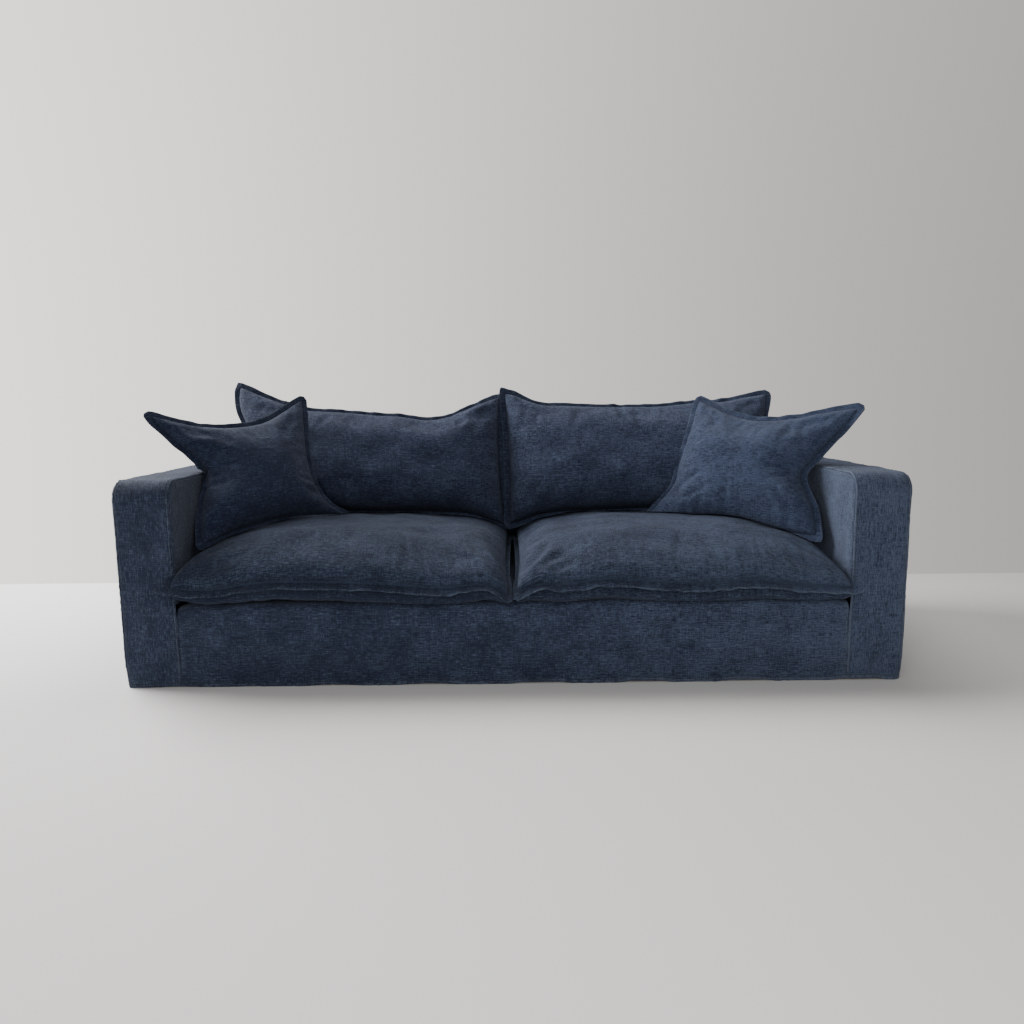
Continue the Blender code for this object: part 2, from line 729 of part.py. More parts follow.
BACK_LEFT = Cushion(
    name="back_cushion_left",
    centre=(-0.515, 0.7275, 0.654),
    across=(1.0, 0.0, 0.0),
    up=(0.0, 0.125, 0.352),
    seam_corners=((-0.470, -0.232, 0.0), (0.480, -0.262, 0.0), (0.457, 0.221, 0.0),
                  (-0.534, 0.262, 0.0)),
    flange_tips=((-0.022, -0.020, 0.0), (0.020, -0.022, -0.008), (0.024, 0.040, -0.010),
                 (-0.028, 0.043, 0.006)),
    bottom=((0.0, 0.0, 0.0, 0.0), (0.25, 0.032, 0.0, 0.0), (0.5, 0.036, 0.0, 0.0),
            (0.86, 0.034, 0.0, 0.0), (1.0, 0.0, 0.0, -0.006)),
    right=((0.0, 0.0, 0.0, -0.008), (0.5, 0.0, 0.0, -0.008), (1.0, 0.0, 0.0, -0.008)),
    top=(
        (0.00, 0.000, 0.0, 0.004),
        (0.14, 0.036, 0.0, 0.002),
        (0.25, 0.064, 0.0, 0.000),
        (0.39, 0.070, 0.0, 0.000),
        (0.53, 0.078, 0.0, 0.000),
        (0.62, 0.080, 0.0, 0.000),
        (0.73, 0.092, 0.0, 0.000),
        (0.80, 0.081, 0.0, 0.000),
        (0.88, 0.045, 0.0, 0.000),
        (0.96, 0.013, 0.0, -0.004),
        (1.00, 0.000, 0.0, -0.008),
    ),
    left=((0.0, 0.0, 0.0, 0.0), (0.5, 0.034, 0.0, 0.0), (0.7, 0.010, 0.0, 0.0),
          (0.86, -0.012, 0.0, 0.0), (1.0, 0.0, 0.0, 0.004)),
    front_height=0.135,
    back_height=0.085,
    fullness=2.6,
    shoulder=2.8,
    back_shoulder=2.8,
    belly=0.010,
    low_weight=0.45,
)

BACK_RIGHT = Cushion(
    name="back_cushion_right",
    centre=(0.515, 0.7275, 0.654),
    across=(1.0, 0.0, 0.0),
    up=(0.0, 0.125, 0.352),
    seam_corners=((-0.518, -0.262, 0.0), (0.470, -0.232, 0.0), (0.470, 0.226, 0.0),
                  (-0.529, 0.240, 0.0)),
    flange_tips=((-0.020, -0.022, 0.010), (0.020, -0.020, 0.0), (0.034, 0.020, -0.004),
                 (-0.022, 0.032, 0.012)),
    bottom=((0.0, 0.0, 0.0, 0.006), (0.14, 0.032, 0.0, 0.0), (0.5, 0.036, 0.0, 0.0),
            (0.75, 0.032, 0.0, 0.0), (1.0, 0.0, 0.0, 0.0)),
    right=((0.0, 0.0, 0.0, 0.0), (0.5, 0.010, 0.0, 0.0), (0.85, 0.004, 0.0, 0.0),
           (1.0, 0.0, 0.0, 0.0)),
    top=(
        (0.00, 0.000, 0.0, 0.008),
        (0.04, 0.009, 0.0, 0.006),
        (0.11, 0.038, 0.0, 0.002),
        (0.21, 0.043, 0.0, 0.000),
        (0.40, 0.049, 0.0, 0.000),
        (0.57, 0.048, 0.0, 0.000),
        (0.68, 0.037, 0.0, 0.002),
        (0.75, 0.030, 0.0, 0.000),
        (0.83, 0.026, 0.0, -0.002),
        (0.91, 0.014, 0.0, 0.000),
        (1.00, 0.000, 0.0, 0.000),
    ),
    left=((0.0, 0.0, 0.0, 0.008), (0.5, 0.0, 0.0, 0.008), (1.0, 0.0, 0.0, 0.008)),
    front_height=0.135,
    back_height=0.085,
    fullness=2.6,
    shoulder=2.8,
    back_shoulder=2.8,
    belly=0.010,
    low_weight=0.45,
)

SCATTER_LEFT = Cushion(
    name="scatter_cushion_left",
    centre=(-0.891, 0.390, 0.647),
    across=(0.742, 0.665, 0.089),
    up=(-0.379, 0.306, 0.873),
    seam_corners=((-0.238, -0.215, 0.0), (0.235, -0.212, 0.0), (0.236, 0.200, 0.0),
                  (-0.238, 0.205, 0.0)),
    flange_tips=((-0.031, -0.028, 0.0), (0.048, -0.034, 0.0), (0.040, 0.042, 0.0),
                 (-0.050, 0.038, 0.0)),
    bottom=((0.0, 0.0, 0.0, 0.0), (0.25, 0.010, 0.0, 0.0), (0.55, 0.016, 0.0, 0.0),
            (1.0, 0.0, 0.0, 0.0)),
    right=((0.0, 0.0, 0.0, 0.0), (0.12, 0.046, 0.0, 0.0), (0.3, 0.052, 0.0, 0.0),
           (0.5, 0.040, 0.0, 0.0), (0.75, 0.016, 0.0, 0.0), (1.0, 0.0, 0.0, 0.0)),
    top=((0.0, 0.0, 0.0, 0.0), (0.2, 0.034, 0.0, 0.0), (0.45, 0.048, 0.0, 0.0),
         (0.65, 0.045, 0.0, 0.0), (0.85, 0.020, 0.0, 0.0), (1.0, 0.0, 0.0, 0.0)),
    left=((0.0, 0.0, 0.0, 0.0), (0.25, 0.022, 0.0, 0.0), (0.45, 0.062, 0.0, 0.0),
          (0.6, 0.070, 0.0, 0.0), (0.8, 0.028, 0.0, 0.0), (1.0, 0.0, 0.0, 0.0)),
    front_height=0.088,
    back_height=0.070,
    fullness=2.3,
    shoulder=2.2,
    back_shoulder=2.2,
    belly=0.006,
    low_weight=0.30,
    columns=14,
    rows=18,
    crowding=0.5,
)

SCATTER_RIGHT = Cushion(
    name="scatter_cushion_right",
    centre=(0.842, 0.400, 0.647),
    across=(0.783, -0.620, -0.051),
    up=(0.319, 0.329, 0.889),
    seam_corners=((-0.275, -0.210, 0.0), (0.250, -0.215, 0.0), (0.262, 0.190, 0.0),
                  (-0.236, 0.200, 0.0)),
    flange_tips=((-0.064, -0.031, 0.0), (0.036, -0.012, 0.0), (0.052, 0.038, 0.0),
                 (-0.040, 0.035, 0.0)),
    bottom=((0.0, 0.0, 0.0, 0.0), (0.2, -0.018, 0.0, 0.0), (0.5, -0.002, 0.0, 0.0),
            (0.8, -0.014, 0.0, 0.0), (1.0, 0.0, 0.0, 0.0)),
    right=((0.0, 0.0, 0.0, 0.0), (0.2, 0.026, 0.0, 0.0), (0.45, 0.084, 0.0, 0.0),
           (0.60, 0.058, 0.0, 0.0), (0.8, 0.022, 0.0, 0.0), (1.0, 0.0, 0.0, 0.0)),
    top=((0.0, 0.0, 0.0, 0.0), (0.2, 0.028, 0.0, 0.0), (0.45, 0.044, 0.0, 0.0),
         (0.7, 0.024, 0.0, 0.0), (0.85, 0.006, 0.0, 0.0), (1.0, 0.0, 0.0, 0.0)),
    left=((0.0, 0.0, 0.0, 0.0), (0.2, 0.015, 0.0, 0.0), (0.4, -0.005, 0.0, 0.0),
          (0.7, -0.012, 0.0, 0.0), (1.0, 0.0, 0.0, 0.0)),
    front_height=0.088,
    back_height=0.070,
    fullness=2.3,
    shoulder=2.2,
    back_shoulder=2.2,
    belly=0.006,
    low_weight=0.30,
    columns=14,
    rows=18,
    crowding=0.5,
)


def build_cover(collection):
    """All the sewn panels of the cover."""
    for builder in (front_rail, deck, inside_back, back_band, outside_back):
        builder(new_material(builder.__name__ + " cloth", COVER_COLOUR), collection)
    for builder in (arm_band, arm_outside, arm_inside):
        for side, word in ((-1, "left"), (1, "right")):
            material = new_material(f"{builder.__name__} {word} cloth", COVER_COLOUR)
            builder(side, material, collection)


def build_cushions(collection):
    """Seat cushions first, then the back cushions on them, then the scatter cushions."""
    down = (0.0, 0.0, -1.0)
    backwards = (0.0, 1.0, 0.0)
    seat_trees = []
    for seat in (SEAT_LEFT, SEAT_RIGHT):
        material = new_material(seat.name + " cloth", SEAT_COLOUR)
        piece = add_cushion(seat, material, collection, [], [on_deck, inside_arms])
        seat_trees.append((mesh_tree(piece), down))
    back_trees = []
    for back in (BACK_LEFT, BACK_RIGHT):
        material = new_material(back.name + " cloth", BACK_COLOUR)
        piece = add_cushion(back, material, collection, seat_trees, [before_back, inside_arms])
        back_trees.append((mesh_tree(piece), backwards))
    for scatter in (SCATTER_LEFT, SCATTER_RIGHT):
        material = new_material(scatter.name + " cloth", SCATTER_COLOUR)
        add_cushion(scatter, material, collection, seat_trees + back_trees, [inside_arms])


def main():
    """Clears the scene and builds the slipcover in its own collection."""
    for leftover in list(bpy.data.objects):
        bpy.data.objects.remove(leftover, do_unlink=True)
    collection = bpy.data.collections.new("sofa_slipcover")
    bpy.context.scene.collection.children.link(collection)
    build_cover(collection)
    build_cushions(collection)


main()
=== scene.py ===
"""The looks of a loose fitted sofa slipcover with six flanged cushions in the same cloth.

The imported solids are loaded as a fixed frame. Each sewn panel and each cushion is modelled
again here on the same lines at a finer scale, with its folded seams, hems, creases, puckers
and weave, and stands for its solid.

Metres, +Z up, +X to the right as one faces the front, +Y to the back. Cover coordinates are
(x, back, up), where back is measured from the plane of the arm fronts.
"""

import logging
import math
from dataclasses import dataclass
from enum import Enum
from typing import Callable, Iterable, Optional, Sequence

import bpy
import numpy as np
from mathutils import Matrix, Vector
from mathutils.bvhtree import BVHTree

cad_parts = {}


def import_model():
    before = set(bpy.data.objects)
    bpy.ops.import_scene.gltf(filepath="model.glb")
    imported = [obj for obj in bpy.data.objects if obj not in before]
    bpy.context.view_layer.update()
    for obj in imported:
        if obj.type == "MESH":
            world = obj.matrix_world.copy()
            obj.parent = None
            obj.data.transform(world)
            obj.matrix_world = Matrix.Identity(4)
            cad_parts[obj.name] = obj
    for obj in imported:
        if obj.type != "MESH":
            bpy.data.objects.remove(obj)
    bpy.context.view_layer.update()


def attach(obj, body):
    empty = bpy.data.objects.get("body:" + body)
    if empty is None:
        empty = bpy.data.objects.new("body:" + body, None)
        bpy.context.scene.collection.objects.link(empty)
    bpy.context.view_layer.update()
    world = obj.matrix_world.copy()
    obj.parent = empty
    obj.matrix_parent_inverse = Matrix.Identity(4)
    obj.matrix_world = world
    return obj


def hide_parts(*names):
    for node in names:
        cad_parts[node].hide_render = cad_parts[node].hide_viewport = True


LOG = logging.getLogger("slipcover")
Array = np.ndarray
BODY = "root"
WEAVE_MAP = "weave"
# Vertex attribute of rubbed wear, which on the cushions' flange rims is also a painted highlight.
WEAR_AND_HIGHLIGHT = "wear"
STITCH = "stitch_off"
STITCH_RUN = "stitch_run"
# Vertex attribute of painted shade: darker towards the left, and on the seats' undersides.
PAINTED_SIDE_SHADE = "side"
CREASE = "crease"
FAR = 1.0


@dataclass(frozen=True)
class CoverSizes:
    """Driving sizes of the sewn cover."""

    width: float = 2.410
    depth: float = 1.000
    arm_height: float = 0.642
    arm_width: float = 0.179
    deck_height: float = 0.262
    back_thickness: float = 0.180
    cloth: float = 0.0025
    flange_reach: float = 0.050
    back_swell: float = 0.006
    arm_front_radius: float = 0.060
    outer_radius: float = 0.020
    inner_radius: float = 0.016
    rail_radius: float = 0.025
    seam_angle: float = math.radians(45.0)
    seam_gap: float = 0.0007
    flat_gap: float = 0.0003
    flush_below: float = 0.200
    rolled_above: float = 0.258
    wall_grip: float = 0.080
    tuck_height: float = 0.100
    tuck: float = 0.008
    rail_dip: float = 0.012
    rail_dip_reach: float = 0.060

    @property
    def half_width(self) -> float:
        """Half the width over the arms."""
        return self.width / 2

    @property
    def inner_x(self) -> float:
        """Distance of the arms' inner faces from the middle."""
        return self.half_width - self.arm_width

    @property
    def inside_back(self) -> float:
        """How far back the inside back stands."""
        return self.depth - self.back_thickness

    @property
    def front_y(self) -> float:
        """World Y of the arm fronts."""
        return (self.flange_reach - self.depth - self.back_swell) / 2


SIZES = CoverSizes()


class Wall(Enum):
    """Which upright wall of the cover a swelling is on."""

    FRONT = "front"
    BACK = "back"
    LEFT = "left"
    RIGHT = "right"


@dataclass(frozen=True)
class Swell:
    """One shallow swelling of a wall, or a hollow where out is below zero."""

    wall: Wall
    along: float
    up: float
    reach_along: float
    reach_up: float
    out: float


SWELLS = (
    Swell(Wall.FRONT, -1.115, 0.300, 0.060, 0.160, 0.0035),
    Swell(Wall.FRONT, 1.115, 0.300, 0.060, 0.160, 0.0035),
    Swell(Wall.FRONT, -0.620, 0.120, 0.260, 0.070, 0.0030),
    Swell(Wall.FRONT, -0.050, 0.090, 0.200, 0.080, -0.0020),
    Swell(Wall.FRONT, 0.480, 0.150, 0.280, 0.060, 0.0030),
    Swell(Wall.FRONT, 0.860, 0.070, 0.090, 0.090, -0.0020),
    Swell(Wall.LEFT, 0.300, 0.150, 0.120, 0.220, 0.0050),
    Swell(Wall.LEFT, 0.560, 0.160, 0.090, 0.200, -0.0050),
    Swell(Wall.LEFT, 0.780, 0.200, 0.110, 0.220, 0.0050),
    Swell(Wall.RIGHT, 0.300, 0.150, 0.120, 0.220, 0.0050),
    Swell(Wall.RIGHT, 0.560, 0.160, 0.090, 0.200, -0.0050),
    Swell(Wall.RIGHT, 0.800, 0.140, 0.100, 0.240, 0.0060),
    Swell(Wall.BACK, -0.800, 0.160, 0.170, 0.200, 0.0060),
    Swell(Wall.BACK, -0.400, 0.120, 0.140, 0.240, -0.0050),
    Swell(Wall.BACK, 0.050, 0.160, 0.180, 0.220, 0.0050),
    Swell(Wall.BACK, 0.450, 0.110, 0.140, 0.240, -0.0050),
    Swell(Wall.BACK, 0.820, 0.160, 0.150, 0.220, 0.0060),
)


def ease(low: float, high: float, value: Array) -> Array:
    """Goes smoothly from 0 at low to 1 at high.

    Args:
        low: Where the curve leaves 0. It may lie above high.
        high: Where it reaches 1.
        value: Values to read it at.

    Returns:
        The curve's heights.
    """
    part = np.clip((value - low) / (high - low), 0.0, 1.0)
    return part * part * (3 - 2 * part)


def interpolate(rows: Sequence[Sequence[float]], position: Array) -> Array:
    """Reads a smooth curve through (position, value, value, ...) rows.

    Args:
        rows: The curve's rows, in order of position.
        position: Where to read it.

    Returns:
        The values, along a new last axis.
    """
    table = np.array(rows, dtype=float)
    places, values = table[:, 0], table[:, 1:]
    slopes = np.empty_like(values)
    slopes[1:-1] = (values[2:] - values[:-2]) / (places[2:] - places[:-2])[:, None]
    slopes[0] = (values[1] - values[0]) / (places[1] - places[0])
    slopes[-1] = (values[-1] - values[-2]) / (places[-1] - places[-2])
    position = np.clip(position, places[0], places[-1])
    index = np.clip(np.searchsorted(places, position, side="right") - 1, 0, len(places) - 2)
    span = (places[index + 1] - places[index])[..., None]
    part = (position - places[index])[..., None] / span
    square, cube = part**2, part**3
    return (
        (2 * cube - 3 * square + 1) * values[index]
        + (cube - 2 * square + part) * span * slopes[index]
        + (3 * square - 2 * cube) * values[index + 1]
        + (cube - square) * span * slopes[index + 1]
    )


def fine_stations(start: float, end: float, spacing: float, crowd: Sequence[float],
                  crowd_end: Optional[Sequence[float]] = None) -> Array:
    """Stations from start to end, crowded near both ends.

    Args:
        start: First station.
        end: Last station.
        spacing: Largest step in the middle.
        crowd: Distances in from the start that get a station of their own.
        crowd_end: The same for the end, or None for the same distances.

    Returns:
        The stations, in order.
    """
    crowd_end = crowd if crowd_end is None else crowd_end
    head = [start + step for step in crowd]
    tail = [end - step for step in reversed(crowd_end)]
    low = head[-1] if head else start
    high = tail[0] if tail else end
    count = max(int(math.ceil((high - low) / spacing)), 1)
    middle = list(np.linspace(low, high, count + 1))
    return np.array(head[:-1] + middle + tail[1:])


class SoftNoise:
    """Smooth seeded unevenness: many cosine waves in random directions, of unit strength."""

    def __init__(self, seed: int, wavelength: float, dimensions: int = 3, waves: int = 18) -> None:
        """Draws the waves.

        Args:
            seed: Seed of the draw.
            wavelength: Middle wavelength in metres.
            dimensions: Number of coordinates of a point.
            waves: Number of waves.
        """
        draw = np.random.default_rng(seed)
        heading = draw.normal(size=(waves, dimensions))
        heading /= np.linalg.norm(heading, axis=1)[:, None]
        pitch = 2 * math.pi / wavelength * draw.uniform(0.55, 1.45, size=(waves, 1))
        self.vectors = heading * pitch
        self.phases = draw.uniform(0, 2 * math.pi, size=waves)

    def __call__(self, points: Array) -> Array:
        """Heights at points of shape (..., dimensions)."""
        waves = np.cos(points @ self.vectors.T + self.phases)
        return waves.sum(axis=-1) * math.sqrt(2.0 / len(self.phases))

    def along(self, distance: Array) -> Array:
        """Heights of one-coordinate noise."""
        return self(distance[..., None])


def edge_roll(depth: Array, radius: float, weight: Array = 1.0) -> tuple[Array, Array]:
    """Rolls a sheet over an edge of a stuffed form.

    Args:
        depth: Distance along the cloth from the seam.
        radius: Radius of the edge.
        weight: 1 where the sheet rolls fully, 0 where it runs on flat.

    Returns:
        How far each point stands in from the edge, and how far it drops below its plane.
    """
    part = np.clip(1 - np.maximum(depth, 0.0) / radius, 0.0, 1.0)
    angle = SIZES.seam_angle * part
    inset = radius * (1 - weight * np.sin(angle) - (1 - weight) * part)
    drop = weight * radius * (1 - np.cos(angle))
    flat = depth >= radius
    return np.where(flat, depth, inset), np.where(flat, 0.0, drop)


def uneven(points: Array) -> Array:
    """Moves points of the cover off its true form, as washed cloth hangs."""
    x, back, up = points[..., 0], points[..., 1], points[..., 2]
    size = SIZES
    grips = {
        Wall.FRONT: (1 - back / size.wall_grip, x),
        Wall.BACK: (1 - (size.depth - back) / size.wall_grip, x),
        Wall.LEFT: (1 - (x + size.half_width) / size.wall_grip, back),
        Wall.RIGHT: (1 - (size.half_width - x) / size.wall_grip, back),
    }
    out = {wall: np.zeros_like(x) for wall in Wall}
    for swell in SWELLS:
        grip, along = grips[swell.wall]
        across = (along - swell.along) / swell.reach_along
        height = (up - swell.up) / swell.reach_up
        out[swell.wall] += np.clip(grip, 0, 1) * swell.out * np.exp(-across**2 - height**2)
    fade = ease(size.arm_height, size.arm_height - 0.120, up)
    on_arm = np.abs(x) > size.inner_x
    front_edge = np.where(on_arm, ease(0.0, size.arm_front_radius, back), 1.0)
    back_edge = ease(size.depth, size.depth - size.arm_front_radius, back)
    side_edge = ease(size.half_width, size.half_width - 0.050, np.abs(x))
    low = np.clip(1 - up / size.tuck_height, 0.0, None)
    tucked = size.tuck * low**2 * ease(size.inner_x, size.half_width, np.abs(x))
    sides = out[Wall.RIGHT] - out[Wall.LEFT]
    moved = np.empty_like(points)
    moved[..., 0] = x + sides * fade * front_edge * back_edge - np.sign(x) * tucked
    moved[..., 1] = back + (out[Wall.BACK] - out[Wall.FRONT]) * fade * side_edge
    moved[..., 2] = up
    return moved


@dataclass(frozen=True)
class Straight:
    """A straight run of a side-view path, from start to end as (back, up)."""

    start: tuple[float, float]
    end: tuple[float, float]

    @property
    def length(self) -> float:
        """Length of the run."""
        return math.dist(self.start, self.end)

    def at(self, distance: Array) -> tuple[Array, Array]:
        """Points and outward directions at distances along the run."""
        heading = (np.array(self.end) - np.array(self.start)) / self.length
        points = np.array(self.start) + distance[..., None] * heading
        outward = np.broadcast_to(np.array((-heading[1], heading[0])), points.shape)
        return points, outward


@dataclass(frozen=True)
class Turn:
    """A round corner of a side-view path, turning towards smaller angles."""

    centre: tuple[float, float]
    radius: float
    from_angle: float
    to_angle: float

    @property
    def length(self) -> float:
        """Length of the arc."""
        return self.radius * (self.from_angle - self.to_angle)

    def at(self, distance: Array) -> tuple[Array, Array]:
        """Points and outward directions at distances along the arc."""
        angle = self.from_angle - distance / self.radius
        outward = np.stack((np.cos(angle), np.sin(angle)), axis=-1)
        return np.array(self.centre) + self.radius * outward, outward


class Path:
    """A side-view path of straight runs and round corners."""

    def __init__(self, *runs: "Straight | Turn") -> None:
        """Strings the runs together."""
        self.runs = runs
        self.starts = np.concatenate(([0.0], np.cumsum([run.length for run in runs])))

    @property
    def length(self) -> float:
        """Whole length of the path."""
        return float(self.starts[-1])

    def at(self, distance: Array) -> tuple[Array, Array]:
        """Points (back, up) and outward directions at distances along the path."""
        points = np.zeros(distance.shape + (2,))
        outward = np.zeros_like(points)
        index = np.clip(np.searchsorted(self.starts, distance, side="right") - 1, 0, len(self.runs) - 1)
        for number, run in enumerate(self.runs):
            chosen = index == number
            points[chosen], outward[chosen] = run.at(distance[chosen] - self.starts[number])
        return points, outward


class Edge(Enum):
    """How an edge of a panel is sewn."""

    WELT = "welt"
    PLAIN = "plain"
    HEM = "hem"
    HIDDEN = "hidden"


@dataclass(frozen=True)
class Sewing:
    """Relief of sewn edges: a folded allowance, its stitch line, and the puckers beside it."""

    welt_width: float = 0.0095
    welt_height: float = 0.0016
    hem_width: float = 0.011
    hem_height: float = 0.0009
    groove_half_width: float = 0.0016
    groove_depth: float = 0.0009
    seam_dip: float = 0.0007
    seam_dip_reach: float = 0.0025
    pucker: float = 0.0007
    pucker_reach: float = 0.022
    pucker_pitch: float = 0.024

    def stitch_line(self, kind: Edge) -> float:
        """How far in from the edge the stitches run."""
        return {Edge.WELT: self.welt_width, Edge.HEM: self.hem_width}.get(kind, -FAR)

    def height(self, kind: Edge, off: Array, along: Array, seed: int) -> Array:
        """Relief beside one sewn edge.

        Args:
            kind: How the edge is sewn.
            off: Distance from the edge.
            along: Distance along it.
            seed: Seed of its puckers.

        Returns:
            Height over the plain cloth.
        """
        if kind is Edge.HIDDEN:
            return np.zeros_like(off)
        ripple = SoftNoise(seed, self.pucker_pitch, 1).along(along)
        slow = SoftNoise(seed + 1, 5 * self.pucker_pitch, 1).along(along)
        reach = np.exp(-off / self.pucker_reach)
        raised = self.pucker * ripple * np.clip(0.6 + 0.5 * slow, 0, 1.5) * reach
        dip = -self.seam_dip * np.exp(-((off / self.seam_dip_reach) ** 2))
        if kind is Edge.PLAIN:
            return raised + dip
        line = self.stitch_line(kind)
        height = self.welt_height if kind is Edge.WELT else self.hem_height
        fold = ease(line + 0.0006, line - 0.0016, off) * height * (1 + 0.25 * slow)
        groove = -self.groove_depth * np.exp(-(((off - line) / self.groove_half_width) ** 2))
        return raised + dip + fold + groove


SEWING = Sewing()


@dataclass(frozen=True)
class Crumple:
    """The soft crumple of washed cloth: slow waves, finer ones, and a few sharp creases."""

    slow: float = 0.0014
    slow_pitch: float = 0.210
    fine: float = 0.00045
    fine_pitch: float = 0.050
    crease: float = 0.0008
    crease_pitch: float = 0.150
    crease_width: float = 0.10

    def height(self, points: Array, seed: int) -> Array:
        """Heights of the crumple at points in space."""
        slow = SoftNoise(seed, self.slow_pitch)(points)
        fine = SoftNoise(seed + 1, self.fine_pitch)(points)
        track = SoftNoise(seed + 2, self.crease_pitch)(points)
        where = SoftNoise(seed + 3, 2 * self.crease_pitch)(points)
        line = np.exp(-((track / self.crease_width) ** 2)) * np.clip(where, 0, 1.5)
        return self.slow * slow + self.fine * fine + self.crease * line


COVER_CRUMPLE = Crumple()


def deselect_all() -> None:
    """Leaves nothing selected, so that an operator acts on the new piece alone."""
    bpy.ops.object.select_all(action="DESELECT")


def new_grid(name: str, columns: int, rows: int) -> tuple[bpy.types.Object, Array, Array]:
    """Adds a grid primitive.

    Args:
        name: Name of the piece.
        columns: Number of stations along X.
        rows: Number of stations along Y.

    Returns:
        The object, and each vertex's column and row number.
    """
    deselect_all()
    bpy.ops.mesh.primitive_grid_add(x_subdivisions=columns - 1, y_subdivisions=rows - 1, size=1.0)
    piece = bpy.context.object
    piece.name = name
    piece.data.name = name
    flat = read_points(piece)
    column = np.rint((flat[:, 0] + 0.5) * (columns - 1)).astype(int)
    row = np.rint((flat[:, 1] + 0.5) * (rows - 1)).astype(int)
    return piece, column, row


def read_points(piece: bpy.types.Object) -> Array:
    """A mesh object's vertices as an array of shape (count, 3)."""
    flat = np.empty(len(piece.data.vertices) * 3)
    piece.data.vertices.foreach_get("co", flat)
    return flat.reshape(-1, 3)


def write_points(piece: bpy.types.Object, points: Array) -> None:
    """Places a mesh object's vertices."""
    piece.data.vertices.foreach_set("co", points.astype(np.float32).ravel())
    piece.data.update()


def write_attribute(piece: bpy.types.Object, name: str, values: Array) -> None:
    """Stores one number for each vertex."""
    mesh = piece.data
    attribute = mesh.attributes.get(name) or mesh.attributes.new(name, "FLOAT", "POINT")
    attribute.data.foreach_set("value", values.astype(np.float32))


def read_attribute(piece: bpy.types.Object, name: str) -> Array:
    """Reads a vertex attribute of one number."""
    values = np.empty(len(piece.data.vertices), dtype=np.float32)
    piece.data.attributes[name].data.foreach_get("value", values)
    return values.astype(float)


def write_painted_side_shade(piece: bpy.types.Object, deeper: Array = 0.0) -> None:
    """Stores painted shade: the cloth is painted darker towards the left, and darker still where told.
    """
    place = read_points(piece)[:, 0] / SIZES.half_width
    write_attribute(piece, PAINTED_SIDE_SHADE, place + 0.45 * place**2 - 0.25 - deeper)


def write_weave_map(piece: bpy.types.Object, across: Array, along: Array) -> None:
    """Stores the place of each vertex on the flat cloth, in metres, as the piece's UV map."""
    mesh = piece.data
    while mesh.uv_layers:
        mesh.uv_layers.remove(mesh.uv_layers[0])
    layer = mesh.uv_layers.new(name=WEAVE_MAP)
    corner = np.empty(len(mesh.loops), dtype=np.int32)
    mesh.loops.foreach_get("vertex_index", corner)
    flat = np.stack((across[corner], along[corner]), axis=-1)
    layer.data.foreach_set("uv", flat.astype(np.float32).ravel())


def apply_modifier(piece: bpy.types.Object, kind: str, **settings: object) -> None:
    """Adds a modifier with its settings and applies it."""
    deselect_all()
    piece.select_set(True)
    bpy.context.view_layer.objects.active = piece
    modifier = piece.modifiers.new(kind.title(), kind)
    for setting, value in settings.items():
        setattr(modifier, setting, value)
    bpy.ops.object.modifier_apply(modifier=modifier.name)


def shade(piece: bpy.types.Object, angle: float) -> None:
    """Shades a piece smooth, with edges sharper than the angle left crisp."""
    deselect_all()
    piece.select_set(True)
    bpy.context.view_layer.objects.active = piece
    bpy.ops.object.shade_smooth_by_angle(angle=angle)


def grid_normals(points: Array) -> Array:
    """Unit normals of a grid of points of shape (rows, columns, 3)."""
    normals = np.cross(np.gradient(points, axis=1), np.gradient(points, axis=0))
    return normals / np.maximum(np.linalg.norm(normals, axis=-1, keepdims=True), 1e-12)


HEM_PITCH = 0.340
HEM_LIFT = 0.0035
HEM_REACH = 0.160


